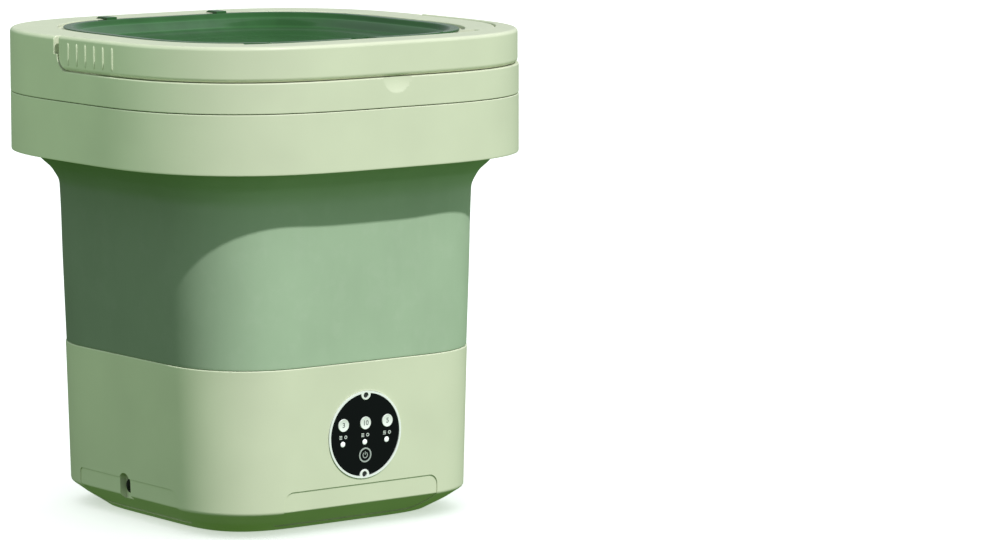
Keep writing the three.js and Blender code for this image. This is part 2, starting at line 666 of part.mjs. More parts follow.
// ---- wash tub, with the bearing tube under its floor --------------------------------------------------------------------------
function washTub() {
  const rimDepth = SHELL + SOFT + 1;
  const rim = inset(BASE_TOP, rimDepth);
  const rimTop = Z_BASE + 0.6;
  const bowl = loft([
    // outer face, from the middle outwards and up
    [58.9, null], [58.9, [100, 91, 7, 42]], [66, [108, 98.5, 8, 50]],
    [94, [114, 103.6, 8, 56]], [102, [121, 108, 9, 62]],
    [111, inset(baseAt(111), rimDepth + 0.5)], [rimTop, rim],
    // inner face, down and back to the middle
    [rimTop, inset(rim, 2.4)], [112, inset(baseAt(112), rimDepth + 2.9)],
    [103.6, [118.6, 105.4, 9, 59.5]], [94.8, [111.4, 101, 8, 53.4]],
    [68, [105, 95.6, 8, 47]], [TUB_FLOOR, [97, 88, 7, 40]], [TUB_FLOOR, null],
  ]);
  const ribs = [0, 90, 180, 270].map((angle) => (
    block([12, 30], [-1, 1], [36, 60]).rotateZ(angle * DEG + 0.26)
  ));
  const additions = [
    rodZ(14, [24, 60], 0, 0, 24), // bearing tube
    ...ribs,
    ...rodsZ(6, [49.8, 60.4], POSTS, 8),
    ...rodsZ(5, [50, 60], MOTOR_SCREWS, 10),
    rodZ(8.6, [50, 60], DRAIN_X, DRAIN_Y, 16), // drain spigot
  ];
  const holes = [
    ...rodsZ(2, [48, 57], POSTS, 6),
    ...rodsZ(2, [49, 58], MOTOR_SCREWS, 8),
    rodZ(5.6, [40, 70], DRAIN_X, DRAIN_Y, 16),
    rodZ(10.4, [60.6, 70], DRAIN_X, DRAIN_Y, 16), // seat of the strainer
    rodZ(BEARING_R + GAP, [20, 51], 0, 0, 24),
    rodZ(9.3, [50, 70], 0, 0, 24),
  ];
  return part('wash_tub', cut(join(bowl, ...additions), ...holes), TUB_GREY);
}

// ---- drive ---------------------------------------------------------------------------------------------------------------------
function shaftParts() {
  const bore = SHAFT_R + RUN;
  const seal = [[bore, 54], [9, 54], [9, 60.6], [6.4, 61.6], [bore, 60.2], [bore, 54]];
  const shaft = cut(rodZ(SHAFT_R, [9.2, 75.4], 0, 0, 18), rodZ(1.8, [60, 80], 0, 0, 10));
  return [
    part('bearing_lower', turnedRing(bore, BEARING_R, [26, 33], 18), STEEL),
    part('bearing_upper', turnedRing(bore, BEARING_R, [42, 49], 18), STEEL),
    part('shaft_seal', turned(seal, 18), RUBBER),
    part('drive_shaft', shaft, STEEL),
  ];
}

// One vane along +X, turned to its angle and cleared from the hub.
function pulsatorVane(angle) {
  const shape = new THREE.Shape();
  shape.moveTo(0, -2.6);
  shape.quadraticCurveTo(30, -7.5, 60, -2.2);
  shape.lineTo(61.5, 1.2);
  shape.quadraticCurveTo(30, 2.6, 0, 3.4);
  shape.lineTo(0, -2.6);
  const geometry = new THREE.ExtrudeGeometry(shape, {
    depth: 10,
    bevelEnabled: true,
    bevelThickness: 2,
    bevelSize: 2,
    bevelSegments: 1,
    bevelOffset: -1,
    curveSegments: 5,
  });
  geometry.translate(9.6, 0, 66.4);
  geometry.rotateZ(angle);
  return cut(clean(geometry), rodZ(9, [60, 90], 0, 0, 16));
}

function pulsatorParts() {
  const bore = SHAFT_R + GAP;
  const disc = turned([
    [bore, 64.2], [74, 64.2], [76, 66], [75, 68.4], [60, 69.2], [34, 71.4], [19, 76],
    [15, 80.6], [12, 81.4], [8.4, 81.4], [8.4, 78.6], [2.2, 78.6], [2.2, 75.8],
    [bore, 75.8], [bore, 64.2],
  ], 26);
  const vanes = [0, 1, 2].map((i) => pulsatorVane((i * 2 * Math.PI) / 3 + 0.5));
  const screw = [
    [0, 64], [1.5, 64], [1.5, 78.9], [7, 78.9], [7, 81.4], [5.4, 82.6], [0, 83.2],
  ];
  return [
    part('pulsator', join(disc, ...vanes), WHITE),
    part('pulsator_screw', turned(screw, 14), STEEL),
  ];
}

function pulley(beltRadius, bore, segments) {
  const flange = beltRadius + 2.4;
  const groove = beltRadius - 0.3;
  return turned([
    [bore, 9.5], [flange, 9.5], [groove, 10.8], [groove, 17.2], [flange, 18.5],
    [bore, 18.5], [bore, 9.5],
  ], segments);
}

// Open belt line: hull of a circle on the Z axis and one on the motor axis.
function beltLine(drivenR, motorR) {
  const direction = Math.atan2(MOTOR_Y, MOTOR_X);
  const contact = Math.acos((drivenR - motorR) / Math.hypot(MOTOR_X, MOTOR_Y));
  return [
    ...arc(drivenR, 0, 0, direction + contact, direction + 2 * Math.PI - contact, 20),
    ...arc(motorR, MOTOR_X, MOTOR_Y, direction - contact, direction + contact, 10),
  ];
}

function beltParts() {
  const driven = pulley(PULLEY_R, SHAFT_R + GAP, 28);
  const motor = pulley(MOTOR_PULLEY_R, MOTOR_SHAFT_R + GAP, 16);
  const outer = beltLine(PULLEY_R + 2.1, MOTOR_PULLEY_R + 2.1);
  const inner = beltLine(PULLEY_R + RUN, MOTOR_PULLEY_R + RUN);
  return [
    part('driven_pulley', driven, WHITE),
    part('motor_pulley', motor, STEEL, [MOTOR_X, MOTOR_Y, 0]),
    part('drive_belt', prism(outer, BELT_Z, [inner]), RUBBER),
  ];
}

// A bar with round ends and a disc in the middle, over the motor.
function motorBracket() {
  const bar = [
    ...arc(7, MOTOR_EAR, 0, -Math.PI / 2, Math.PI / 2, 6),
    ...arc(7, -MOTOR_EAR, 0, Math.PI / 2, (3 * Math.PI) / 2, 6),
  ];
  return cut(
    join(prism(bar, BRACKET_Z), rodZ(19, BRACKET_Z, 0, 0, 24)),
    ...rodsZ(2, [40, 60], [[MOTOR_EAR, 0], [-MOTOR_EAR, 0]], 8),
    rodZ(5, [40, 60]),
  );
}

function motorParts() {
  const place = [MOTOR_X, MOTOR_Y, 0];
  const rotor = turned([
    [0, 9.2], [MOTOR_SHAFT_R, 9.2], [MOTOR_SHAFT_R, 24], [14, 24.4], [14, 40],
    [MOTOR_SHAFT_R, 40.4], [MOTOR_SHAFT_R, 44.6], [0, 44.6],
  ], 16);
  const can = turned([
    [2.6, 21], [8, 21], [8, 22.4], [20.6, 22.4], [20.6, MOTOR_TOP], [2.6, MOTOR_TOP],
    [2.6, 41.4], [15, 41], [15, 23.6], [2.6, 23.2], [2.6, 21],
  ], 20);
  const screwZ = MOTOR_TOP - MOTOR_SCREW.headH;
  return [
    part('motor_rotor', rotor, STEEL, place),
    part('motor_body', can, DARK, place),
    part('motor_bracket', motorBracket(), STEEL, place),
    ...numbered('motor_screw', screwUp(MOTOR_SCREW), STEEL, MOTOR_SCREWS, screwZ),
  ];
}

// ---- control panel ---------------------------------------------------------------------------------------------------------------
function panelLens() {
  const holes = [
    ...KEYS.map(([x, y]) => circle(KEY_R + RUN, 20, x, y)),
    ...LIGHTS.map(([x, y]) => circle(2.5, 12, x, y)),
    circle(POWER_R + RUN, 20, ...POWER_KEY),
  ];
  const bossNotches = rodsZ(4.9, [-4, 4], [[0, PANEL_R], [0, -PANEL_R]], 20);
  const disc = prism(circle(PANEL_R, 40), [-1.3, 0.6], holes);
  return part('panel_lens', cut(disc, ...bossNotches), BLACK);
}

// Ring with a half-round screw boss reaching inwards at the top and the bottom.
function panelBezel() {
  const sideArc = (from) => (
    arc(PANEL_R + GAP, 0, 0, from * DEG, (from + 164.32) * DEG, 16).slice(1, -1)
  );
  const topBoss = arc(4.3, 0, 30.5, 6.77 * DEG, -186.77 * DEG, 10);
  const bottomBoss = topBoss.map(([x, y]) => [x, -y]).reverse();
  const inner = [...topBoss, ...sideArc(97.84), ...bottomBoss, ...sideArc(-82.16)];
  const screwHoles = PANEL_SCREWS.map(([x, y]) => circle(2.2, 12, x, y));
  const ring = prism(circle(PANEL_R + 1.8, 40), [-1.3, 0.9], [inner, ...screwHoles]);
  return part('panel_bezel', ring, PALE);
}

// Cap, guide collar behind the lens, and stem.
function key(radius) {
  return turned([
    [0, 1.2], [radius, 1.2], [radius, -1.6], [radius + 0.9, -1.6], [radius + 0.9, -2.4],
    [1.6, -2.4], [1.6, -5.6], [0, -5.6],
  ], 20);
}

function controlBoard() {
  const disc = rodZ(24.8, [-8.2, -6.6], 0, 0, 28);
  const holes = rodsZ(1.6, [-10, 0], [[14, -14], [-14, -14]], 8);
  const chip = block([-7, 7], [-2, 8], [-10.4, -8]);
  const smallBlock = block([9, 17], [-12, -4], [-12.4, -8]);
  return part('control_board', join(cut(disc, ...holes), chip, smallBlock), BOARD);
}

function panelParts() {
  const screw = turned([[0, -3], [1, -3], [1, -1.4], [2, -1.4], [2, 0.1], [0, 0.1]], 12);
  const light = turned([[0, 0.9], [1.2, 0.8], [2.1, 0.4], [2.1, -4.6], [0, -4.6]], 10);
  return [
    panelLens(),
    panelBezel(),
    ...numbered('panel_screw', screw, DARK, PANEL_SCREWS),
    ...numbered('mode_key', key(KEY_R), WHITE, KEYS),
    part('power_key', key(POWER_R), BLACK, [...POWER_KEY, 0]),
    ...numbered('indicator_light', light, WHITE, LIGHTS),
    controlBoard(),
  ];
}

// ---- drain, power inlet, wiring -----------------------------------------------------------------------------------------------------
function drainStrainer() {
  const cap = turned([[0, 62.4], [6, 62.4], [9.9, 61.2], [9.9, 60.9], [0, 60.9]], 18);
  const holes = rodsZ(1.1, [50, 70], circle(3.4, 6), 6);
  const strainer = skin(cut(cap, ...holes)).translate(DRAIN_X, DRAIN_Y, 0);
  return part('drain_strainer', strainer, TUB_GREY);
}

// From the spigot down and round to the plug.
function drainHose() {
  // centre line, [x, z]
  const line = [
    [DRAIN_X, 49.6], [DRAIN_X, 43], [DRAIN_X - 1.3, 35.4], [DRAIN_X - 5.8, 29],
    [DRAIN_X - 12.6, DRAIN_Z + 0.6], [DRAIN_X - 20, DRAIN_Z], [-113.5, DRAIN_Z],
  ];
  const points = line.map(([x, z]) => new THREE.Vector3(x, DRAIN_Y, z));
  return part('drain_hose', tube(new THREE.CatmullRomCurve3(points), 7.4, 5.4, 8, 10), RUBBER);
}

// Pull cap in the recess, shank through the shell into the hose.
function drainPlug() {
  // [radius, distance inwards from the cap's outer face]
  const profile = [
    [0, 0], [4.6, 0], [5.4, 0.6], [5.4, 1.6], [4.2, 1.9], [4.2, 3],
    [4.4, 3.2], [4.4, 17.4], [3.4, 19], [0, 19],
  ];
  const plug = new THREE.LatheGeometry(vectors(profile), 16).rotateZ(-Math.PI / 2);
  return part('drain_plug', clean(plug.translate(-118.5, DRAIN_Y, DRAIN_Z)), RUBBER);
}

function powerInlet() {
  const rod = (radius, ySpan, sides) => rodY(radius, ySpan, INLET_X, INLET_Z, sides);
  const body = join(rod(8, [112, 130.4], 20), rod(11.4, [129.7, 131.9], 20));
  const socket = cut(body, rod(5.4, [120, 134], 20));
  return part('power_inlet', join(socket, rod(1.6, [118, 128], 10)), DARK);
}

// From behind the control panel round the right side to the power inlet.
function wiringLoom() {
  // centre line, [x, y, z]
  const line = [
    [13, -105.2, 61], [22, -102, 50], [48, -96.5, 36], [92, -84, 32], [108, -50, 32],
    [112, 0, 32], [108, 52, 32], [92, 86, 35], [64, 103, 38], [INLET_X, 109.6, INLET_Z],
  ];
  const path = new THREE.CatmullRomCurve3(line.map((point) => new THREE.Vector3(...point)));
  return part('wiring_loom', tube(path, 2.2, 0, 24, 6), DARK);
}

// ---- assembly -----------------------------------------------------------------------------------------------------------------------
const base = new THREE.Group();
base.name = 'base_group';
base.add(bellows(), baseShell(), bottomCover(), ...undersideParts(), washTub());
base.add(...shaftParts(), ...pulsatorParts(), ...beltParts(), ...motorParts());
base.add(drainStrainer(), drainHose(), drainPlug(), powerInlet(), wiringLoom());

const collar = new THREE.Group();
collar.name = 'collar_group';
collar.add(topRing(), skirtRing(), bellowsClampRing(), ...rimScrews());
collar.add(carryHandle(), ...SIDES.map(handlePin), lid(), ...HINGE_X.map(lidPin));

panel.add(...panelParts());

const root = new THREE.Group();
root.name = 'portable_mini_washer';
root.add(base, collar, panel);

export default root;
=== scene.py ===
"""A portable appliance with a folding tub: a rigid base shell with a round control panel, an
elastomer bellows above it, and a collar on top that carries a swinging handle and a hinged lid.

It stands upright on the floor at z = 0. The control panel and the handle's bar face the front
(-Y), the drain is in the left side (-X), and the lid's hinges are at the rear (+Y). Sizes are in
millimetres and meshes are stored in metres.
"""
import json
import math
from typing import NamedTuple

import bmesh
import bpy
import numpy as np
from mathutils import Matrix, Vector


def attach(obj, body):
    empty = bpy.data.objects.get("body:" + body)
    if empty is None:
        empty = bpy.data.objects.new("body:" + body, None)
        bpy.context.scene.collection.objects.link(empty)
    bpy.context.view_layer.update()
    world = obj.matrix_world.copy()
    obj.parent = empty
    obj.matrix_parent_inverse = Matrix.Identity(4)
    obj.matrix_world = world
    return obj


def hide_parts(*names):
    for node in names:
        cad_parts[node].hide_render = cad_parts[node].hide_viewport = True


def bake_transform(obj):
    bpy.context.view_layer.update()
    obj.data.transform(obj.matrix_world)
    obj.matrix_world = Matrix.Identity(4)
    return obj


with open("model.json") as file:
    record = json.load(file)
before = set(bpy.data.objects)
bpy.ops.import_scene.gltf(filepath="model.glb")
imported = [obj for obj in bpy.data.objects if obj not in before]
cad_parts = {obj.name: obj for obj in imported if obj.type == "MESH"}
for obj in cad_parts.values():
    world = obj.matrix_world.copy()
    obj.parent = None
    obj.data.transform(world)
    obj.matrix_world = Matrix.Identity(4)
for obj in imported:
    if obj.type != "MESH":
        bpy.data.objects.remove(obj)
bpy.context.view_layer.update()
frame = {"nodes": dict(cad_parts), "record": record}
SCENE = bpy.context.scene
MM = 0.001
RING_POINTS = 288        # points round a full outline
BELLOWS_POINTS = 192
FINE_POINTS = 4096       # points used to measure an outline
SIDES = (-1, 1)          # left, right


class Outline(NamedTuple):
    """A bowed rounded rectangle: a superellipse grown by a corner radius."""
    half_width: float
    half_depth: float
    exponent: float
    corner: float
    centre_y: float = 0.0

    def inset(self, distance):
        return self._replace(half_width=self.half_width - distance,
                             half_depth=self.half_depth - distance,
                             corner=max(self.corner - distance, 2.0))

    def toward(self, other, share):
        return Outline(*(a + (b - a) * share for a, b in zip(self, other)))

    def points(self, count=RING_POINTS):
        """(count, 2) array, counter-clockwise."""
        power, grow = self.exponent, self.corner
        core_x = max(self.half_width - grow, 0.5)
        core_y = max(self.half_depth - grow, 0.5)
        angle = (np.arange(count) + 0.5) / count * 2 * math.pi
        cos, sin = np.cos(angle), np.sin(angle)
        spread = 2.0 / min(power, 5.0)
        unit_x = np.sign(cos) * np.abs(cos) ** spread
        unit_y = np.sign(sin) * np.abs(sin) ** spread
        reach = (np.abs(unit_x) ** power + np.abs(unit_y) ** power) ** (-1.0 / power)
        x, y = core_x * unit_x * reach, core_y * unit_y * reach
        normal_x = np.sign(x) * np.abs(x / core_x) ** (power - 1) / core_x
        normal_y = np.sign(y) * np.abs(y / core_y) ** (power - 1) / core_y
        length = np.hypot(normal_x, normal_y)
        return np.c_[x + grow * normal_x / length, y + grow * normal_y / length + self.centre_y]


# ---------------------------------------------------------------------------------------------
# driving dimensions
# ---------------------------------------------------------------------------------------------
# levels
TOP_Z, DECK_Z, HANDLE_Z, SEAM_Z = 366.0, 365.3, 340.0, 317.4
SKIRT_Z, BASE_TOP_Z, BASE_LOW_Z, BASE_MID_Z, FOOT_Z = 273.0, 125.4, 18.0, 9.5, 0.5
LID_Z = 365.2

# outlines: half width, half depth, exponent, corner radius, centre y
COLLAR = Outline(170.0, 170.5, 4.2, 53.5)
DECK = Outline(163.4, 138.8, 4.4, 50.0)
OPENING = Outline(136.5, 137.8, 4.2, 47.0, 3.8)
LID = Outline(132.5, 133.6, 4.2, 43.0, 3.8)
SLEEVE = Outline(154.6, 154.6, 5.2, 56.0)
BASE_TOP = Outline(126.6, 130.2, 15.5, 54.0)
BASE_LOW = Outline(122.8, 126.2, 15.5, 47.0)
BASE_MID = Outline(112.6, 112.8, 10.5, 31.0)
BASE_FOOT = Outline(102.0, 98.5, 6.0, 16.0)
HANDLE_INSET = 0.9
HANDLE = COLLAR.inset(HANDLE_INSET)

COLLAR_WALL, BASE_WALL, BELLOWS_WALL = 3.0, 2.6, 2.2
SEAM_GAP = 0.3                               # on each side of the collar's seam

# the handle's arms: rear ends, rounded lower corners, pivots
ARM_END, NOTCH_END = 22.0, 27.0
CORNER_Y, CORNER_Z, CORNER_RADIUS = 9.0, 353.0, 13.0
CORNER_SLIT, SHELF_Z = 1.1, 352.0
PIVOT_Y, PIVOT_Z, PIVOT_RADIUS = 16.5, 359.0, 2.5

HINGE_XS, HINGE_Y, HINGE_Z = (-51, 51), 144.6, 363.6
DRAIN_Y, DRAIN_Z = 9.5, 25.0


def base_at(z):
    """The base shell's outline on its tall upper wall."""
    return BASE_LOW.toward(BASE_TOP, (z - BASE_LOW_Z) / (BASE_TOP_Z - BASE_LOW_Z))


def ring(z, shape, inward=0.0, count=RING_POINTS):
    xy = shape.inset(inward).points(count)
    return np.c_[xy, np.full(len(xy), z)]


# ---------------------------------------------------------------------------------------------
# mesh helpers: millimetres in, metres stored. Objects named "tool" are used up by booleans
# or merges.
# ---------------------------------------------------------------------------------------------
def make(name, verts, faces):
    mesh = bpy.data.meshes.new(name)
    mesh.from_pydata((np.asarray(verts, float) * MM).tolist(), [], faces)
    mesh.validate()
    ob = bpy.data.objects.new(name, mesh)
    SCENE.collection.objects.link(ob)
    return ob


def fix_normals(ob):
    bm = bmesh.new()
    bm.from_mesh(ob.data)
    bmesh.ops.remove_doubles(bm, verts=bm.verts, dist=2e-7)
    bmesh.ops.recalc_face_normals(bm, faces=bm.faces)
    if bm.calc_volume(signed=True) < 0:
        bmesh.ops.reverse_faces(bm, faces=bm.faces)
    bm.to_mesh(ob.data)
    bm.free()
    return ob


def soften(rings, bends, closed, steps):
    """Replaces each ring by a soft curve reaching its bend length to either side of it."""
    out = []
    count = len(rings)
    for k, (current, bend) in enumerate(zip(rings, bends)):
        if bend <= 0 or (not closed and k in (0, count - 1)):
            out.append(current)
            continue

        def step_to(neighbour):
            offset = neighbour - current
            length = np.maximum(np.linalg.norm(offset, axis=1, keepdims=True), 1e-9)
            return current + offset / length * np.minimum(bend, 0.46 * length)

        start, end = step_to(rings[(k - 1) % count]), step_to(rings[(k + 1) % count])
        for u in np.linspace(0, 1, steps + 1):
            out.append((1 - u) ** 2 * start + 2 * u * (1 - u) * current + u * u * end)
    return out


def loft(rings, bends=None, closed=False, steps=5, name="tool"):
    """Joins equal rings into a skin; closed joins the last to the first, otherwise ends are capped."""
    rings = soften(rings, bends or [0] * len(rings), closed, steps)
    size, count = len(rings[0]), len(rings)
    verts = np.concatenate(rings)
    faces = []
    for k in range(count if closed else count - 1):
        a, b = k * size, ((k + 1) % count) * size
        for i in range(size):
            j = (i + 1) % size
            faces.append((a + i, a + j, b + j, b + i))
    if not closed:
        for k, flip in ((0, True), (count - 1, False)):
            verts = np.vstack([verts, rings[k].mean(0)])
            centre = len(verts) - 1
            a = k * size
            for i in range(size):
                j = (i + 1) % size
                faces.append((a + j, a + i, centre) if flip else (a + i, a + j, centre))
    return fix_normals(make(name, verts, faces))


def stack(rows, closed=False, steps=5, name="tool"):
    """Lofts rows of (z, outline, inset, bend)."""
    rings = [ring(z, shape, inward) for z, shape, inward, _ in rows]
    return loft(rings, [row[3] for row in rows], closed, steps, name)


def prism(xy, z0, z1):
    xy = np.asarray(xy, float)
    return loft([np.c_[xy, np.full(len(xy), z)] for z in (z0, z1)])


def plate(shape, z0, z1):
    return prism(shape.points(), z0, z1)


def box(x_span, y_span, z_span, radius=0.0):
    verts = [(x, y, z) for x in x_span for y in y_span for z in z_span]
    faces = [(0, 1, 3, 2), (4, 6, 7, 5), (0, 4, 5, 1), (2, 3, 7, 6), (0, 2, 6, 4), (1, 5, 7, 3)]
    ob = fix_normals(make("tool", verts, faces))
    if radius:
        bm = bmesh.new()
        bm.from_mesh(ob.data)
        bmesh.ops.bevel(bm, geom=list(bm.edges), offset=radius * MM, segments=3, profile=0.5,
                        affect="EDGES")
        bm.to_mesh(ob.data)
        bm.free()
    return ob


def lathe(rows, count=64, steps=4, name="tool"):
    """Turns rows of (radius, z, bend) round Z. Rings of radius 0 collapse to a point."""
    profile = soften([np.array([[r, z]]) for r, z, _ in rows], [row[2] for row in rows],
                     False, steps)
    angles = np.arange(count) / count * 2 * math.pi
    verts, index = [], []
    for r, z in (point[0] for point in profile):
        if r < 1e-6:
            index.append([len(verts)] * count)
            verts.append((0, 0, z))
        else:
            index.append(list(range(len(verts), len(verts) + count)))
            verts += [(r * math.cos(a), r * math.sin(a), z) for a in angles]
    faces = []
    for a, b in zip(index, index[1:]):
        for i in range(count):
            j = (i + 1) % count
            face = []
            for v in (a[i], a[j], b[j], b[i]):
                if v not in face:
                    face.append(v)
            if len(face) > 2:
                faces.append(tuple(face))
    return fix_normals(make(name, verts, faces))


def rod(radius, start, end, count=48):
    """A plain bar between two points, used as a cutter or a boss."""
    start, end = Vector(start), Vector(end)
    length = (end - start).length
    ob = lathe([(0, 0, 0), (radius, 0, 0), (radius, length, 0), (0, length, 0)], count)
    matrix = (end - start).to_track_quat("Z", "Y").to_matrix().to_4x4()
    matrix.translation = start * MM
    ob.data.transform(matrix)
    return ob


def x_rod(radius, x0, x1, y, z, count=48):
    return rod(radius, (x0, y, z), (x1, y, z), count)


def z_rod(radius, x, y, z0, z1, count=48):
    return rod(radius, (x, y, z0), (x, y, z1), count)


def tube(path, radius, count):
    """A round bar swept along a path that doesn't start upright, with closed ends."""
    path = np.asarray(path, float)
    tangents = np.gradient(path, axis=0)
    tangents /= np.linalg.norm(tangents, axis=1, keepdims=True)
    across = np.array([0.0, 0.0, 1.0])
    across -= tangents[0] * (across @ tangents[0])
    across /= np.linalg.norm(across)
    angles = np.arange(count) / count * 2 * math.pi
    rings = []
    for point, tangent in zip(path, tangents):
        across = across - tangent * (across @ tangent)
        across /= np.linalg.norm(across)
        side = np.cross(tangent, across)
        rings.append(point + radius * (np.cos(angles)[:, None] * across
                                       + np.sin(angles)[:, None] * side))
    return loft(rings)


def boolean(ob, tools, operation):
    for tool in tools:
        modifier = ob.modifiers.new("b", "BOOLEAN")
        modifier.operation = operation
        modifier.solver = "MANIFOLD"
        modifier.object = tool
    depsgraph = bpy.context.evaluated_depsgraph_get()
    depsgraph.update()
    mesh = bpy.data.meshes.new_from_object(ob.evaluated_get(depsgraph))
    ob.modifiers.clear()
    old = ob.data
    ob.data = mesh
    bpy.data.meshes.remove(old)
    for tool in tools:
        bpy.data.objects.remove(tool)
    return ob


def cut(ob, *tools):
    return boolean(ob, tools, "DIFFERENCE")


def join(ob, *tools):
    return boolean(ob, tools, "UNION")


def common(ob, *tools):
    return boolean(ob, tools, "INTERSECT")


def merge_objects(first, *others):
    """Puts several closed skins in one mesh, keeping their materials."""
    bm = bmesh.new()
    materials = []
    for ob in (first,) + others:
        start = len(bm.faces)
        bm.from_mesh(ob.data)
        bm.faces.ensure_lookup_table()
        own = list(ob.data.materials)
        for face in bm.faces[start:]:
            material = own[min(face.material_index, len(own) - 1)]
            if material not in materials:
                materials.append(material)
            face.material_index = materials.index(material)
    index = [face.material_index for face in bm.faces]
    bm.to_mesh(first.data)
    bm.free()
    first.data.materials.clear()
    for material in materials:
        first.data.materials.append(material)
    first.data.polygons.foreach_set("material_index", index)
    for ob in others:
        bpy.data.objects.remove(ob)
    return first


def finish_mesh(ob, sharp_angle, weighted):
    bm = bmesh.new()
    bm.from_mesh(ob.data)
    bmesh.ops.remove_doubles(bm, verts=bm.verts, dist=5e-7)
    bmesh.ops.dissolve_degenerate(bm, dist=2e-7, edges=bm.edges)
    bm.to_mesh(ob.data)
    bm.free()
    ob.data.shade_smooth()
    ob.data.set_sharp_from_angle(angle=math.radians(sharp_angle))
    if weighted:
        modifier = ob.modifiers.new("normals", "WEIGHTED_NORMAL")
        modifier.keep_sharp = True
        modifier.weight = 60


# ---------------------------------------------------------------------------------------------
# shader helpers
# ---------------------------------------------------------------------------------------------
def add_node(tree, kind, inputs=None, **settings):
    """Adds a node with its settings; each input value is a socket to link or a constant."""
    node = tree.nodes.new(kind)
    for key, value in settings.items():
        setattr(node, key, value)
    for key, value in (inputs or {}).items():
        feed(tree, node.inputs[key], value)
    return node


def feed(tree, socket, value):
    if isinstance(value, bpy.types.NodeSocket):
        tree.links.new(value, socket)
    else:
        socket.default_value = value


def shade(colour, factor):
    return tuple(min(1.0, v * factor) for v in colour[:3]) + (1.0,)


class Graph:
    """A principled material whose textures are laid out in millimetres of object space."""

    def __init__(self, name):
        self.material = bpy.data.materials.new(name)
        self.material.use_nodes = True
        self.tree = self.material.node_tree
        self.tree.nodes.clear()
        output = self.add("ShaderNodeOutputMaterial")
        self.bsdf = self.add("ShaderNodeBsdfPrincipled")
        feed(self.tree, output.inputs[0], self.bsdf.outputs[0])
        position = self.add("ShaderNodeTexCoord").outputs["Object"]
        self.position = self.add("ShaderNodeVectorMath", {0: position, 3: 1000.0},
                                 operation="SCALE").outputs[0]

    def add(self, kind, inputs=None, **settings):
        return add_node(self.tree, kind, inputs, **settings)

    def set(self, key, value):
        feed(self.tree, self.bsdf.inputs[key], value)

    def noise(self, scale, detail=2.0, rough=0.5, stretch=None):
        vector = self.position
        if stretch:
            vector = self.add("ShaderNodeMapping", {"Scale": stretch, 0: vector}).outputs[0]
        return self.add("ShaderNodeTexNoise", {
            "Scale": scale, "Detail": detail, "Roughness": rough, "Vector": vector,
        }).outputs["Fac"]

    def voronoi(self, scale):
        return self.add("ShaderNodeTexVoronoi", {
            "Scale": scale, "Vector": self.position}).outputs["Distance"]

    def ramp(self, value, span=(0.3, 0.7), to=(0.0, 1.0)):
        """Maps value from span to another range, clamped."""
        return self.add("ShaderNodeMapRange", {
            "From Min": span[0], "From Max": span[1], "To Min": to[0], "To Max": to[1],
            "Value": value}).outputs[0]

    def math(self, operation, a, b):
        return self.add("ShaderNodeMath", {0: a, 1: b}, operation=operation).outputs[0]

    def scaled(self, value, by):
        return self.math("MULTIPLY", value, by)

    def mix(self, mask, under, over, amount=None):
        """Lays one colour over another where mask is 1, at most by amount."""
        if amount is not None:
            mask = self.scaled(mask, by=amount)
        return self.add("ShaderNodeMix", {0: mask, 6: under, 7: over},
                        data_type="RGBA", blend_type="MIX").outputs[2]

    def edge(self, radius=0.9):
        """1 along convex and concave edges, 0 on open surface. The radius is in millimetres."""
        bevel = self.add("ShaderNodeBevel", {"Radius": radius * MM}, samples=4)
        geometry = self.add("ShaderNodeNewGeometry")
        dot = self.add("ShaderNodeVectorMath", {
            0: bevel.outputs[0], 1: geometry.outputs["Normal"]}, operation="DOT_PRODUCT")
        return self.ramp(self.math("SUBTRACT", 1.0, dot.outputs["Value"]), span=(0.02, 0.28))

    def bump(self, height, strength, depth, under=None):
        """Depth is in millimetres; under is an earlier bump to add to."""
        inputs = {"Strength": strength, "Distance": depth * MM, "Height": height}
        if under is not None:
            inputs["Normal"] = under
        return self.add("ShaderNodeBump", inputs).outputs[0]


# ---------------------------------------------------------------------------------------------
# materials
# ---------------------------------------------------------------------------------------------
def moulded(name, colour, rough=0.42, grain_depth=0.05, wear_and_highlight=0.35, coat=0.0, specular=0.5):
    """Moulded plastic: fine grain, slow colour drift, paler and glossier edges (wear in patches,
    partly a painted highlight), scuffs.
    """
    g = Graph(name)
    slow = g.noise(scale=0.018)
    medium = g.noise(scale=0.22, detail=3.0)
    grain = g.noise(scale=2.6, detail=3.0, rough=0.6)
    scuffs = g.ramp(g.noise(scale=0.55, detail=4.0, rough=0.7, stretch=(0.18, 0.18, 3.2)),
                    span=(0.62, 0.74))
    edge = g.edge()
    patches = g.ramp(g.noise(scale=0.35, detail=3.0), span=(0.35, 0.65), to=(0.25, 1.0))
    # paler edges: worn in patches, and partly a painted highlight along convex and concave edges
    worn_and_highlit_edges = g.math("MULTIPLY", edge, patches)
    drift = 0.05
    c = g.mix(g.ramp(slow), shade(colour, factor=1 - drift),
              shade(colour, factor=1 + drift * 0.6))
    c = g.mix(g.ramp(grain, span=(0.35, 0.7), to=(0.0, 0.5)), c, shade(colour, factor=0.965))
    c = g.mix(worn_and_highlit_edges, c, shade(colour, factor=1.22), amount=wear_and_highlight)
    g.set("Base Color", c)
    r = g.ramp(medium, to=(rough - 0.05, rough + 0.06))
    r = g.math("SUBTRACT", r, g.scaled(edge, by=0.08))
    r = g.math("ADD", r, g.scaled(scuffs, by=0.12))
    g.set("Roughness", r)
    g.set("Specular IOR Level", specular)
    n = g.bump(g.noise(scale=0.035, detail=1.0), strength=0.10, depth=0.5)
    n = g.bump(medium, strength=0.06, depth=0.25, under=n)
    n = g.bump(grain, strength=0.28, depth=grain_depth, under=n)
    g.set("Normal", n)
    if coat:
        g.set("Coat Weight", coat)
        g.set("Coat Roughness", 0.08)
    return g.material


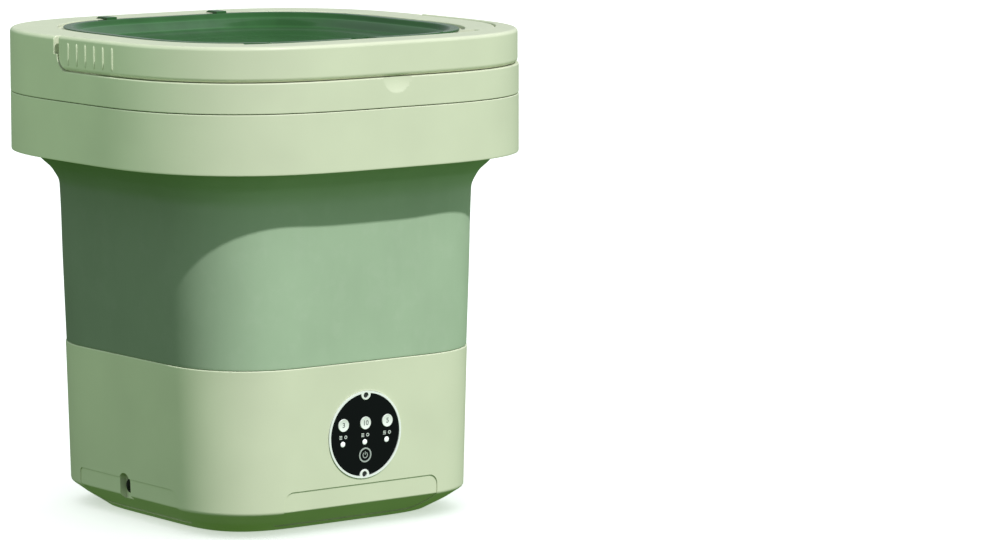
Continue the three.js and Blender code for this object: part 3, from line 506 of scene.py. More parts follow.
def elastomer(name, colour):
    """Soft matt skin: fine orange-peel, upright streaks and patches of faint dust."""
    g = Graph(name)
    slow = g.noise(scale=0.014, detail=3.0)
    peel = g.noise(scale=1.1)
    fine = g.noise(scale=4.5, rough=0.6)
    dust = g.ramp(g.noise(scale=0.06, detail=5.0, rough=0.65), span=(0.5, 0.78))
    streak = g.noise(scale=0.09, detail=3.0, rough=0.6, stretch=(1.0, 1.0, 0.12))
    c = g.mix(g.ramp(slow), shade(colour, factor=0.95), shade(colour, factor=1.035))
    c = g.mix(g.ramp(streak, span=(0.4, 0.75), to=(0.0, 0.25)), c, shade(colour, factor=1.07))
    c = g.mix(dust, c, (0.62, 0.66, 0.60, 1), amount=0.10)
    g.set("Base Color", c)
    g.set("Roughness", g.ramp(g.math("ADD", peel, g.scaled(dust, by=0.3)),
                              span=(0.3, 0.9), to=(0.50, 0.68)))
    g.set("Specular IOR Level", 0.2)
    n = g.bump(g.noise(scale=0.03, detail=1.0), strength=0.15, depth=0.8)
    n = g.bump(peel, strength=0.10, depth=0.10, under=n)
    n = g.bump(fine, strength=0.18, depth=0.04, under=n)
    g.set("Normal", n)
    return g.material


def tinted_lid(name, colour):
    """Glossy translucent moulding: flow ripple, haze, hairline scratches, a painted highlight on its
    edges.
    """
    g = Graph(name)
    flow = g.noise(scale=0.05, detail=3.0, stretch=(1.0, 0.35, 1.0))
    haze = g.noise(scale=0.12, detail=4.0, rough=0.6)
    scratches = g.ramp(g.noise(scale=0.8, detail=5.0, rough=0.75, stretch=(3.5, 0.12, 1.0)),
                       span=(0.66, 0.74))
    edge = g.edge(radius=1.2)
    c = g.mix(g.ramp(flow), shade(colour, factor=0.9), shade(colour, factor=1.1))
    # painted highlight: the colour pales along every edge
    c = g.mix(edge, c, shade(colour, factor=1.7), amount=0.30)
    g.set("Base Color", c)
    g.set("Roughness", g.math("ADD", g.ramp(haze, span=(0.35, 0.7), to=(0.07, 0.14)),
                              g.scaled(scratches, by=0.10)))
    g.set("Transmission Weight", 0.12)
    g.set("Specular IOR Level", 0.22)
    g.set("IOR", 1.49)
    g.set("Coat Weight", 0.05)
    g.set("Coat Roughness", 0.05)
    n = g.bump(flow, strength=0.10, depth=0.4)
    n = g.bump(g.noise(scale=1.6, detail=3.0), strength=0.03, depth=0.05, under=n)
    g.set("Normal", n)
    return g.material


def gloss_black(name):
    """Smeared black gloss with specks of dust and a painted highlight along its edges."""
    g = Graph(name)
    smear = g.noise(scale=0.18, detail=4.0, rough=0.6)
    dust = g.ramp(g.voronoi(scale=0.9), span=(0.02, 0.06), to=(1.0, 0.0))
    # painted highlight: the black pales to grey along edges
    c = g.mix(g.edge(radius=0.5), (0.006, 0.007, 0.008, 1), (0.05, 0.055, 0.055, 1), amount=0.35)
    c = g.mix(dust, c, (0.4, 0.4, 0.4, 1), amount=0.05)
    g.set("Base Color", c)
    g.set("Roughness", g.ramp(smear, span=(0.35, 0.7), to=(0.10, 0.2)))
    g.set("Specular IOR Level", 0.04)
    g.set("Normal", g.bump(g.noise(scale=0.25), strength=0.02, depth=0.2))
    return g.material


def rubber(name):
    """Matt black rubber, dusty in patches."""
    g = Graph(name)
    fine = g.noise(scale=3.0, detail=3.0, rough=0.6)
    dust = g.ramp(g.noise(scale=0.3, detail=5.0, rough=0.7), span=(0.5, 0.75))
    g.set("Base Color", g.mix(dust, (0.014, 0.015, 0.015, 1), (0.16, 0.16, 0.15, 1), amount=0.18))
    g.set("Roughness", g.ramp(fine, to=(0.62, 0.85)))
    g.set("Normal", g.bump(fine, strength=0.3, depth=0.06))
    return g.material


def metal(name, colour, rough):
    """Brushed metal with dull spots and a painted highlight on its edges."""
    g = Graph(name)
    brush = g.noise(scale=0.9, detail=4.0, rough=0.65, stretch=(0.2, 0.2, 6.0))
    spots = g.ramp(g.noise(scale=0.5, detail=5.0, rough=0.7), span=(0.58, 0.78))
    edge = g.edge(radius=0.4)
    c = g.mix(spots, colour, shade(colour, factor=0.62), amount=0.25)
    # painted highlight: the colour brightens along edges
    c = g.mix(edge, c, shade(colour, factor=1.35), amount=0.4)
    g.set("Base Color", c)
    g.set("Metallic", 1.0)
    g.set("Roughness", g.math("ADD", g.ramp(brush, to=(rough - 0.07, rough + 0.10)),
                              g.scaled(spots, by=0.15)))
    g.set("Normal", g.bump(brush, strength=0.12, depth=0.03))
    return g.material


def ink(name, colour):
    """Slightly uneven print."""
    g = Graph(name)
    fine = g.noise(scale=6.0, detail=3.0, rough=0.6)
    g.set("Base Color", g.mix(g.ramp(fine, span=(0.35, 0.7), to=(0.0, 0.5)),
                              colour, shade(colour, factor=0.82)))
    rough = 0.4
    g.set("Roughness", g.ramp(fine, to=(rough, rough + 0.12)))
    g.set("Normal", g.bump(fine, strength=0.15, depth=0.01))
    return g.material


def lamp(name, colour, glow):
    """Faintly glowing diffuser with a cellular surface."""
    g = Graph(name)
    mottle = g.noise(scale=2.2)
    g.set("Base Color", g.mix(g.ramp(mottle, to=(0.0, 0.6)), colour, shade(colour, factor=0.9)))
    g.set("Roughness", g.ramp(mottle, to=(0.25, 0.4)))
    g.set("Emission Color", colour)
    g.set("Emission Strength", glow)
    g.set("Normal", g.bump(g.voronoi(scale=1.6), strength=0.1, depth=0.05))
    return g.material


def board(name):
    """Green circuit board with raised track-like patches."""
    g = Graph(name)
    tracks = g.ramp(g.noise(scale=0.7, stretch=(1, 0.15, 0.15)), span=(0.48, 0.52))
    g.set("Base Color", g.mix(tracks, (0.01, 0.08, 0.03, 1), (0.02, 0.15, 0.06, 1)))
    g.set("Roughness", g.ramp(g.noise(scale=1.2, detail=3.0), to=(0.3, 0.45)))
    g.set("Normal", g.bump(tracks, strength=0.25, depth=0.04))
    return g.material


PALE = moulded("pale_green_plastic", (0.648, 0.676, 0.527, 1), rough=0.40, specular=0.35)
SAGE = elastomer("sage_elastomer", (0.368, 0.478, 0.350, 1))
LID_GREEN = tinted_lid("green_translucent", (0.034, 0.112, 0.036, 1))
BLACK = gloss_black("black_gloss")
WHITE = moulded("white_plastic", (0.80, 0.82, 0.81, 1), rough=0.34, wear_and_highlight=0.2)
KEY_WHITE = moulded("white_key_plastic", (0.86, 0.88, 0.88, 1), rough=0.30, wear_and_highlight=0.15,
                    grain_depth=0.02)
TUB_GREY = moulded("light_grey_tub_plastic", (0.60, 0.65, 0.585, 1), rough=0.30, wear_and_highlight=0.25,
                   coat=0.15)
RUBBER = rubber("black_rubber")
STEEL = metal("bare_steel", (0.56, 0.57, 0.58, 1), rough=0.28)
DARK = moulded("dark_plastic", (0.020, 0.022, 0.024, 1), rough=0.5, wear_and_highlight=0.6)
BOARD = board("green_board")
DIGIT_INK = ink("grey_print", (0.20, 0.21, 0.22, 1))
MARK_INK = ink("white_print", (0.72, 0.75, 0.75, 1))
POWER_INK = ink("grey_ring_print", (0.42, 0.45, 0.45, 1))
LAMP = lamp("light_diffuser", (0.9, 0.95, 0.95, 1), glow=0.35)

SLOT_MATERIAL = {
    "pale_green_shell": PALE, "sage_elastomer": SAGE, "green_translucent_lid": LID_GREEN,
    "black_gloss_panel": BLACK, "white_key": KEY_WHITE, "light_diffuser": LAMP,
    "white_technical_plastic": WHITE, "light_grey_tub": TUB_GREY, "black_rubber": RUBBER,
    "bare_steel": STEEL, "dark_plastic": DARK, "green_board": BOARD,
}


def paint(ob, material):
    ob.data.materials.clear()
    ob.data.materials.append(material)
    return ob


def piece(ob, material, body, node, blend_to=None, sharp_angle=32.0, weighted=True):
    """Finishes a mesh and hands it over in place of a CAD node. Material None keeps its own.
    blend_to: (second body, start point, end point); its values are not used: given, it leaves the
    piece in world space, attached to no body."""
    if material is not None:
        paint(ob, material)
    finish_mesh(ob, sharp_angle, weighted)
    if blend_to:
        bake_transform(ob)
    else:
        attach(ob, body)
    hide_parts(node)


# ---------------------------------------------------------------------------------------------
# sweeps along the collar
# ---------------------------------------------------------------------------------------------
def x_on(shape, y, side, inward=0.0):
    """x of the outline at y, on the right (side 1) or the left (-1)."""
    points = shape.inset(inward).points(FINE_POINTS)
    right = points[points[:, 0] > 0]
    order = np.argsort(right[:, 1])
    return side * float(np.interp(y, right[order, 1], right[order, 0]))


def arc(shape, y_cut, front, count, inward):
    """The outline in front of (or behind) y_cut, from its left end round to its right end.
    Points crowd where the outline turns."""
    turn_weight = 60.0                       # millimetres of length that one radian counts for
    points = shape.inset(inward).points(FINE_POINTS)
    keep = points[:, 1] < y_cut if front else points[:, 1] > y_cut
    start = int(np.argmax(keep & ~np.roll(keep, 1)))
    kept = np.roll(points, -start, axis=0)[: int(keep.sum())]
    if kept[0][0] > 0:
        kept = kept[::-1]
    left, right = ([[x_on(shape, y_cut, side, inward), y_cut]] for side in SIDES)
    kept = np.vstack([left, kept, right])
    segments = np.diff(kept, axis=0)
    lengths = np.hypot(segments[:, 0], segments[:, 1])
    headings = np.unwrap(np.arctan2(segments[:, 1], segments[:, 0]))
    turns = np.abs(np.diff(headings, prepend=headings[0]))
    weights = np.concatenate([[0], np.cumsum(lengths + turn_weight * turns)])
    stations = np.linspace(0, weights[-1], count)
    return np.c_[np.interp(stations, weights, kept[:, 0]),
                 np.interp(stations, weights, kept[:, 1])]


def arc_sweep(section, y_cut, front, count, end_radius, name="tool"):
    """Sweeps a closed section round the front or rear part of the collar.
    Section rows: outline, inset, z, then the way out of the section as (inset, z).
    The ends are planes of constant y with rounded edges."""
    end_steps = 4
    sign = 1.0 if front else -1.0
    levels = []                              # (y, how far the section shrinks)
    for k in range(end_steps + 1):
        a = k / end_steps * math.pi / 2
        levels.append((y_cut - sign * end_radius * (1 - math.cos(a)),
                       end_radius * (1 - math.sin(a))))
    left, right = ([np.array([(x_on(shape, y, side, inward - out_in * shrink), y,
                               z - out_z * shrink)
                              for shape, inward, z, out_in, out_z in section])
                    for y, shrink in levels] for side in SIDES)
    y_inner = levels[-1][0]
    columns = [arc(shape, y_inner, front, count, inward) for shape, inward, *_ in section]
    middle = [np.array([(column[i][0], column[i][1], row[2])
                        for column, row in zip(columns, section)])
              for i in range(1, count - 1)]
    return loft(left + middle + right[::-1], name=name)


def section_corner(shape, inward, z, out_in, out_z, radius, steps):
    """Rounded corner of a section. out_in and out_z (+-1) point out of the section."""
    rows = []
    for k in range(steps + 1):
        a = k / steps * math.pi / 2
        way_in, way_z = out_in * math.cos(a), out_z * math.sin(a)
        rows.append((shape, inward - out_in * radius + way_in * radius,
                     z - out_z * radius + way_z * radius, way_in, way_z))
    return rows


# ---------------------------------------------------------------------------------------------
# collar: top ring
# ---------------------------------------------------------------------------------------------
LEDGE_Z, LEDGE_UNDER_Z = 339.7, 336.7        # the ledge below the handle's bar
DECK_UNDER_Z = 362.3
STEP_Z, STEP_UNDER_Z, STEP_WIDTH = 362.9, 359.9, 6.5     # the step inside the opening
OPENING_WALL_Z = 349.0
RIM_Z = 337.5                                # underside of the full-height rear rim

TOP_RING = [  # z, outline, inset, bend
    (SEAM_Z + SEAM_GAP, COLLAR, 0.9, 0), (SEAM_Z + SEAM_GAP, COLLAR, 0, 0.7),
    (LEDGE_Z, COLLAR, 0, 1.0), (LEDGE_Z, DECK, 0, 0.6),
    (DECK_Z, DECK, 0, 1.3), (DECK_Z, OPENING, 0, 0.9),
    (STEP_Z, OPENING, 0, 0.5), (STEP_Z, OPENING, STEP_WIDTH, 0.6),
    (STEP_UNDER_Z, OPENING, STEP_WIDTH, 0.6), (STEP_UNDER_Z, OPENING, 0, 0.5),
    (OPENING_WALL_Z, OPENING, 0, 0.4), (OPENING_WALL_Z, OPENING, -2.5, 0.8),
    (DECK_UNDER_Z, OPENING, -2.5, 0.5), (DECK_UNDER_Z, DECK, COLLAR_WALL, 0.5),
    (LEDGE_UNDER_Z, DECK, COLLAR_WALL, 0.5), (LEDGE_UNDER_Z, COLLAR, COLLAR_WALL, 0.6),
    (SEAM_Z + SEAM_GAP, COLLAR, COLLAR_WALL, 0.4),
]


def add_rear_rim(body):
    """The full-height rim behind the handle's arms, hollow inside, with a flange below."""
    section = section_corner(COLLAR, 0, DECK_Z, -1, 1, radius=3.2, steps=7)
    section += [(DECK, 2.0, DECK_Z, 1, 1), (DECK, 2.0, RIM_Z, 1, -1), (COLLAR, 0, RIM_Z, -1, -1)]
    body = join(body, arc_sweep(section, NOTCH_END, False, count=260, end_radius=0.9))

    # shelves that follow the round of the handle's lower corners
    for side in SIDES:
        ys = np.linspace(CORNER_Y, NOTCH_END + 0.6, 16)
        outer = [(x_on(COLLAR, y, side), y) for y in ys]
        inner = [(x_on(DECK, y, side, 1.0), y) for y in ys][::-1]
        shelf = prism(outer + inner, 337.2, SHELF_Z)
        shelf = cut(shelf, x_rod(CORNER_RADIUS + CORNER_SLIT, side * 150, side * 180,
                                 CORNER_Y, CORNER_Z, 96))
        body = join(body, shelf)

    low_z = 330.0
    hollow = arc_sweep([
        (COLLAR, COLLAR_WALL, DECK_UNDER_Z, -1, 1), (DECK, 4.0, DECK_UNDER_Z, 1, 1),
        (DECK, 4.0, low_z, 1, -1), (COLLAR, COLLAR_WALL, low_z, -1, -1),
    ], NOTCH_END + 3.2, False, count=200, end_radius=0.4)
    core = plate(COLLAR.inset(COLLAR_WALL), 300.0, LEDGE_UNDER_Z)
    middle = common(plate(SLEEVE.inset(4.6), 330, 345), plate(DECK.inset(1.5), 328, 347))
    flange = cut(plate(COLLAR.inset(1.6), LEDGE_UNDER_Z, 339.6), middle)
    body = cut(body, hollow, core)
    return join(body, flange)


def add_lid_hinges(body):
    """Blocks with a pocket and a pin bore behind the opening."""
    for x in HINGE_XS:
        front_y = OPENING.centre_y + OPENING.half_depth - 1.0
        body = join(body, box((x - 11, x + 11), (front_y, HINGE_Y + 6),
                              (357.5, DECK_Z - 0.02), 0.4))
        body = cut(body, box((x - 5.2, x + 5.2), (134.0, HINGE_Y + 4.2), (359.6, 372), 0.8))
        body = cut(body, x_rod(1.5, x - 9, x + 9, HINGE_Y, HINGE_Z))
    return body


def finger_scoop():
    """A ball that cuts the hollow for fingers below the handle's bar."""
    radius, centre_out, centre_up = 39.5, 37.2, 0.6
    bm = bmesh.new()
    bmesh.ops.create_uvsphere(bm, u_segments=96, v_segments=64, radius=radius * MM)
    mesh = bpy.data.meshes.new("tool")
    bm.to_mesh(mesh)
    bm.free()
    ball = bpy.data.objects.new("tool", mesh)
    SCENE.collection.objects.link(ball)
    centre = Vector((0, -COLLAR.half_depth - centre_out, HANDLE_Z + centre_up))
    mesh.transform(Matrix.Translation(centre * MM))
    return ball


def build_top_ring():
    body = stack(TOP_RING, closed=True, steps=4, name="top_ring_moulding")
    body = add_rear_rim(body)
    # the front of the opening's wall sits lower
    body = cut(body, box((-112, 112), (-152, -116), (352, 380), 1.2))
    for side in SIDES:
        body = join(body, x_rod(5.6, side * 154, side * 162, PIVOT_Y, PIVOT_Z))
        body = cut(body, x_rod(PIVOT_RADIUS + 0.3, side * 150, side * 164.6, PIVOT_Y, PIVOT_Z))
    body = add_lid_hinges(body)
    return cut(body, finger_scoop())


piece(build_top_ring(), PALE, "collar", "top_ring")

# ---------------------------------------------------------------------------------------------
# collar: skirt
# ---------------------------------------------------------------------------------------------
SHELF_INSET, SHELF_UNDER_Z = 13, SEAM_Z - 3.4            # the skirt's inward shelf at the seam
SKIRT = [  # z, outline, inset, bend
    (SKIRT_Z, COLLAR, 1.0, 0), (SKIRT_Z, COLLAR, 0, 1.4),
    (SEAM_Z - SEAM_GAP, COLLAR, 0, 0.8), (SEAM_Z - SEAM_GAP, COLLAR, SHELF_INSET, 0.6),
    (SHELF_UNDER_Z, COLLAR, SHELF_INSET, 0.6), (SHELF_UNDER_Z, COLLAR, COLLAR_WALL, 0.8),
    (SKIRT_Z + 4, COLLAR, COLLAR_WALL, 0.8), (SKIRT_Z + 1.5, COLLAR, 4.2, 0.5),
    (SKIRT_Z, COLLAR, 3.4, 0.4),
]
SKIRT_POST_X, SKIRT_POST_Y = 161.3, 60


def build_skirt():
    skirt = stack(SKIRT, closed=True, name="skirt_moulding")
    for x in (SKIRT_POST_X, -SKIRT_POST_X):
        for y in (SKIRT_POST_Y, -SKIRT_POST_Y):
            skirt = join(skirt, z_rod(4, x, y, SEAM_Z - 2, 330.4))
            skirt = cut(skirt, z_rod(2, x, y, SEAM_Z - 6, 345))
    return skirt


piece(build_skirt(), PALE, "collar", "skirt_ring")

# ---------------------------------------------------------------------------------------------
# carry handle
# ---------------------------------------------------------------------------------------------
HANDLE_LOW_Z = HANDLE_Z + 0.15
WEB_XS, WEB_HALF = (-96, -48, 0, 48, 96), 0.9
RIB_COUNT, RIB_FIRST_Y, RIB_PITCH = 6, 8.6, 11.6
RIB_Z, RIB_HALF_HEIGHT = HANDLE_Z + 12.6, 9.0
RIB_DEPTH, RIB_HALF_WIDTH, RIB_SUNK = 1.05, 1.35, 0.2


def grip_rib(side, y):
    """A slim upright ridge with soft ends on the outside of an arm."""
    x = x_on(HANDLE, y, 1) - RIB_SUNK
    angles = np.arange(20) / 20 * 2 * math.pi
    rings = []
    for k in range(-8, 9):
        u = k / 8.0
        width = max(math.sqrt(max(1 - abs(u) ** 6, 0.0)), 0.03)
        rings.append(np.c_[side * (x + RIB_DEPTH * width * np.cos(angles)),
                           y + RIB_HALF_WIDTH * width * np.sin(angles),
                           np.full(len(angles), RIB_Z + RIB_HALF_HEIGHT * u)])
    return loft(rings)


def build_handle():
    low_z = HANDLE_LOW_Z
    inner = DECK.inset(-0.8)
    section = section_corner(COLLAR, HANDLE_INSET, TOP_Z, -1, 1, radius=3.0, steps=7)
    section += section_corner(inner, 0.0, TOP_Z, 1, 1, radius=1.2, steps=4)[::-1]
    section += section_corner(inner, 0.0, low_z, 1, -1, radius=0.5, steps=2)
    section += section_corner(COLLAR, HANDLE_INSET, low_z, -1, -1, radius=3.4, steps=6)[::-1]
    handle = arc_sweep(section, ARM_END, True, count=420, end_radius=1.0,
                       name="carry_handle_moulding")

    # round off the lower rear corner of each arm
    for side in SIDES:
        waste = box(sorted((side * 150, side * 172)), (CORNER_Y, ARM_END + 5),
                    (low_z - 6, CORNER_Z))
        waste = cut(waste, x_rod(CORNER_RADIUS, side * 145, side * 178, CORNER_Y, CORNER_Z, 128))
        handle = cut(handle, waste)

    # hollow under the front bar
    hollow = cut(plate(HANDLE.inset(3), low_z - 2, TOP_Z - 3.2),
                 plate(DECK.inset(-3.8), low_z - 4, TOP_Z + 2))
    hollow = common(hollow, box((-150, 150), (-200, -60), (low_z - 3, TOP_Z + 1)))
    handle = cut(handle, hollow)

    # stiffening webs inside the hollow
    for x in WEB_XS:
        web = box((x - WEB_HALF, x + WEB_HALF), (-167.8, -141.2), (low_z + 3, TOP_Z - 2.5))
        web = common(web, plate(HANDLE.inset(1.5), low_z, TOP_Z - 2))
        web = cut(web, plate(DECK.inset(-1.6), low_z - 2, TOP_Z + 2))
        handle = join(handle, web)

    for side in SIDES:
        handle = cut(handle, x_rod(PIVOT_RADIUS + 0.1, side * 158, side * 167.6,
                                   PIVOT_Y, PIVOT_Z))
        for i in range(RIB_COUNT):
            handle = join(handle, grip_rib(side, RIB_FIRST_Y - i * RIB_PITCH))
    return handle


piece(build_handle(), PALE, "handle", "carry_handle")

# ---------------------------------------------------------------------------------------------
# lid: a flat rim round a sunken dish
# ---------------------------------------------------------------------------------------------
LID_PROFILE = [  # inset, rise above LID_Z, bend; over the top face, then back underneath
    (90, -16.0, 0), (34, -16.0, 12), (17, -12, 7), (10.5, -4, 3), (7, 0, 1.2), (0, 0, 0.7),
    (0, -2, 0.6), (8, -2, 1.2), (12.6, -5.6, 2.5), (19, -14, 7), (35, -18, 10), (90, -18.0, 0),
]
TAB_HALF = 4.6
NUB_XS = (-78, 78)


def build_lid():
    lid = stack([(LID_Z + rise, LID, inward, bend) for inward, rise, bend in LID_PROFILE],
                steps=7, name="lid_moulding")
    # half-round finger notch in the front edge
    notch_y = LID.centre_y - LID.half_depth - 4.5
    lid = cut(lid, z_rod(12.5, 0, notch_y, LID_Z - 30, LID_Z + 5, 96))
    for x in HINGE_XS:
        x0, x1 = x - TAB_HALF, x + TAB_HALF
        lid = join(lid, box((x0, x1), (LID.centre_y + LID.half_depth - 6, HINGE_Y),
                            (LID_Z - 1.9, LID_Z + 1.7), 0.5))
        lid = join(lid, x_rod(2.7, x0, x1, HINGE_Y, HINGE_Z))
        lid = cut(lid, x_rod(1.3, x - 6, x + 6, HINGE_Y, HINGE_Z, 32))
    # two small nubs on the front edge
    edge = LID.points()
    front = edge[edge[:, 1] < 0]
    for x in NUB_XS:
        y = front[np.argmin(np.abs(front[:, 0] - x)), 1]
        lid = join(lid, rod(1.5, (x, y + 6.0, LID_Z - 1.4), (x, y + 0.8, LID_Z - 0.9), 24))
    return lid


piece(build_lid(), LID_GREEN, "lid", "lid")

# ---------------------------------------------------------------------------------------------
# bellows
# ---------------------------------------------------------------------------------------------
TUCK_Z, TUCK_MID_Z, HEM_Z, HEM_TOP_Z = 113.0, 119.0, 334.2, 336.4
TUCK_LOW = base_at(TUCK_Z).inset(BASE_WALL + 0.8)        # the part held inside the base shell
TUCK_TOP = BASE_TOP.inset(BASE_WALL + 0.5)
TUCK_MID = TUCK_LOW.toward(TUCK_TOP, 0.5)
SKIN_LOW = Outline(126.1, 129.7, 15.5, 53.5)
SKIN_WAIST = Outline(130.6, 133.6, 12.0, 55.0)
SKIN = [  # z, outline
    (BASE_TOP_Z + 0.3, SKIN_LOW), (186.0, SKIN_LOW.toward(SKIN_WAIST, 0.5)),
    (246.0, SKIN_WAIST), (258.0, Outline(137.6, 138.2, 9.0, 56.0)),
    (267.0, Outline(147.4, 147.5, 6.6, 56.5)), (276.0, SLEEVE), (300.0, SLEEVE), (HEM_Z, SLEEVE),
]
HEM = SLEEVE.inset(-5)


def smooth_rings(stations, spacing, inward=0.0):
    """Rings along (z, outline) stations with a monotone smooth change of every number."""
    z = np.array([station[0] for station in stations])
    values = np.array([station[1] for station in stations])
    gaps = np.diff(z)
    rates = np.diff(values, axis=0) / gaps[:, None]
    slopes = np.zeros_like(values)
    slopes[0], slopes[-1] = rates[0], rates[-1]
    for i in range(1, len(z) - 1):
        for j in range(values.shape[1]):
            a, b = rates[i - 1][j], rates[i][j]
            slopes[i][j] = 0.0 if a * b <= 0 else 2 * a * b / (a + b)
    out = []
    for i, gap in enumerate(gaps):
        count = max(2, int(round(gap / spacing)))
        for k in range(count + (1 if i == len(gaps) - 1 else 0)):
            t = k / count
            shape = ((2 * t ** 3 - 3 * t ** 2 + 1) * values[i]
                     + (t ** 3 - 2 * t ** 2 + t) * gap * slopes[i]
                     + (-2 * t ** 3 + 3 * t ** 2) * values[i + 1]
                     + (t ** 3 - t ** 2) * gap * slopes[i + 1])
            out.append(ring(z[i] + gap * t, Outline(*shape), inward, BELLOWS_POINTS))
    return out


def build_bellows():
    def level(z, shape, inward=0.0):
        return ring(z, shape, inward, BELLOWS_POINTS)

    wall = BELLOWS_WALL
    outer = smooth_rings(SKIN, 2.2)
    inner = smooth_rings(SKIN, 2.2, wall)
    rings = [level(TUCK_Z, TUCK_LOW), level(TUCK_MID_Z, TUCK_MID),
             level(BASE_TOP_Z + 0.3, TUCK_TOP)]
    rings += outer
    rings += [level(HEM_Z, HEM), level(HEM_TOP_Z, HEM), level(HEM_TOP_Z, SLEEVE, wall)]
    rings += inner[::-1][1:-1]
    rings += [level(BASE_TOP_Z + 2.4, SKIN_LOW, wall), level(BASE_TOP_Z - 0.2, TUCK_TOP, wall),
              level(TUCK_MID_Z, TUCK_MID, wall), level(TUCK_Z, TUCK_LOW, wall)]
    # bends at the top of the tuck, the foot of the skin and round the hem
    bends = [0, 0, 0.4, 0.5] + [0] * (len(outer) - 2) + [0.6] * 4
    bends += [0] * (len(rings) - len(bends))
    return loft(rings, bends, closed=True, steps=3, name="bellows_skin")


piece(build_bellows(), SAGE, "base", "bellows",
      blend_to=("collar", (0, 0, 0.113), (0, 0, 0.335)), weighted=False, sharp_angle=50)

# ---------------------------------------------------------------------------------------------
# base shell
# ---------------------------------------------------------------------------------------------
# the panel's frame: origin on the leaning front wall, z out of the wall
PANEL_Z = 70.4
WALL_HEIGHT = BASE_TOP_Z - BASE_LOW_Z
LEAN = math.atan2(BASE_TOP.half_depth - BASE_LOW.half_depth, WALL_HEIGHT)
PANEL = (Matrix.Translation(Vector((0, -base_at(PANEL_Z).half_depth, PANEL_Z)) * MM)
         @ Matrix.Rotation(math.pi / 2 + LEAN, 4, "X"))
PANEL_SCREW_Y = 29.8

FLOOR_Z, WELL_Z = 7.8, 5.3                   # undersides inside the foot
WELL = Outline(68, 60, 4, 15)
FOOT_INSET = 3.7
BASE_SHELL = [  # z, outline, inset, bend; up the outside, down the inside, then underneath
    (FOOT_Z, BASE_FOOT, 0, 0.7), (BASE_MID_Z, BASE_MID, 0, 4.0),
    (BASE_LOW_Z, BASE_LOW, 0, 1.9), (BASE_TOP_Z, BASE_TOP, 0, 0.9),
    (BASE_TOP_Z, BASE_TOP, BASE_WALL, 0.6), (19, BASE_LOW, BASE_WALL, 0.8),
    (11.6, BASE_MID, BASE_WALL + 0.6, 1.5), (FLOOR_Z, Outline(104, 101, 7, 19), 0, 0.8),
    (FLOOR_Z, WELL, 0, 0.5), (WELL_Z, WELL, 0, 0.5),
    (WELL_Z, BASE_FOOT, FOOT_INSET, 0.5), (FOOT_Z, BASE_FOOT, FOOT_INSET, 0.5),
]
TALL_POSTS = ((80, 72), (-80, 72), (80, -72), (-80, -72))
SHORT_POSTS = ((92, 30), (-60, 88), (92, -30), (-60, -88))
# aprons: first and last u, low and high z, corner radii from low-first counter-clockwise
FRONT_APRON = (-71, 69, 4.2, 33.4, (9, 14, 8, 8))
SIDE_APRON = (-62, 72, 4.2, 31.6, (9, 6, 4, 9))
INLET_X, INLET_Z = 60, 38


def on_panel(ob):
    ob.data.transform(PANEL)
    return ob


def slab(axis, path, low, high):
    """A flat outline (u, z) pushed along x or y from low to high."""
    path = np.array(path)
    rings = []
    for value in (low, high):
        depth = np.full(len(path), value)
        rings.append(np.c_[depth, path] if axis == "x" else np.c_[path[:, 0], depth, path[:, 1]])
    return loft(rings)


def soft_rect(u0, u1, z0, z1, radii):
    """Rounded rectangle; radii at (u0, z0), (u1, z0), (u1, z1), (u0, z1)."""
    corners = ((u0, z0, 180), (u1, z0, 270), (u1, z1, 0), (u0, z1, 90))
    steps = 10
    out = []
    for (u, z, start), radius in zip(corners, radii):
        sign_u, sign_z = (1 if u == u0 else -1), (1 if z == z0 else -1)
        for k in range(steps + 1):
            t = math.radians(start + 90 * k / steps)
            out.append((u + sign_u * radius + radius * math.cos(t),
                        z + sign_z * radius + radius * math.sin(t)))
    return out


def base_core(depth):
    """The base's body shrunk by depth, more so low down: what an apron leaves standing."""
    low = depth * 1.6
    return stack([
        (-4.0, BASE_FOOT, low + 5.5, 0), (FOOT_Z, BASE_FOOT, low, 0.5),
        (BASE_MID_Z, BASE_MID, low, 4.0), (BASE_LOW_Z + 0.4 * depth, BASE_LOW, depth, 0.9),
        (BASE_TOP_Z, BASE_TOP, depth, 0), (BASE_TOP_Z + 5, BASE_TOP, depth, 0),
    ], steps=6)


def drain_arch(half_width, top_z, low_z, x0, x1):
    """A round-topped block across the left wall at the drain."""
    path = [(DRAIN_Y - half_width, low_z), (DRAIN_Y + half_width, low_z)]
    for i in range(25):
        t = i / 24 * math.pi
        path.append((DRAIN_Y + half_width * math.cos(t),
                     top_z - half_width + half_width * math.sin(t)))
    return slab("x", path, x0, x1)


def add_posts(shell):
    for x, y in TALL_POSTS:
        shell = join(shell, z_rod(6, x, y, 6, 49.4, 32))
        shell = cut(shell, z_rod(2.1, x, y, 0, 60, 24), z_rod(4, x, y, 0, 8.2, 32))
    for x, y in SHORT_POSTS:
        shell = join(shell, z_rod(4.6, x, y, 6, 17, 32))
        shell = cut(shell, z_rod(1.9, x, y, 4, 15, 24))
    return shell


def cut_aprons(shell):
    """Shallow aprons pressed into the front and both sides, running down over the slope."""
    return cut(shell,
               cut(slab("y", soft_rect(*FRONT_APRON), -150, -84), base_core(0.9)),
               cut(slab("x", soft_rect(*SIDE_APRON), -150, -84), base_core(0.8)),
               cut(slab("x", soft_rect(*SIDE_APRON), 84, 150), base_core(0.8)))


def add_drain_recess(shell):
    low_body = stack([
        (FOOT_Z, BASE_FOOT, 1.4, 0), (BASE_MID_Z, BASE_MID, 1.4, 4.0),
        (18.3, BASE_LOW, 0.9, 0.9), (60, base_at(60.0), 0.9, 0),
    ], steps=6)
    shell = join(shell, common(drain_arch(9.6, 38, 12.9, -130, -113.9), low_body))
    shell = cut(shell, drain_arch(7, 35.4, 15.5, -150, -116.5))
    return cut(shell, x_rod(4.6, -124, -100, DRAIN_Y, DRAIN_Z))


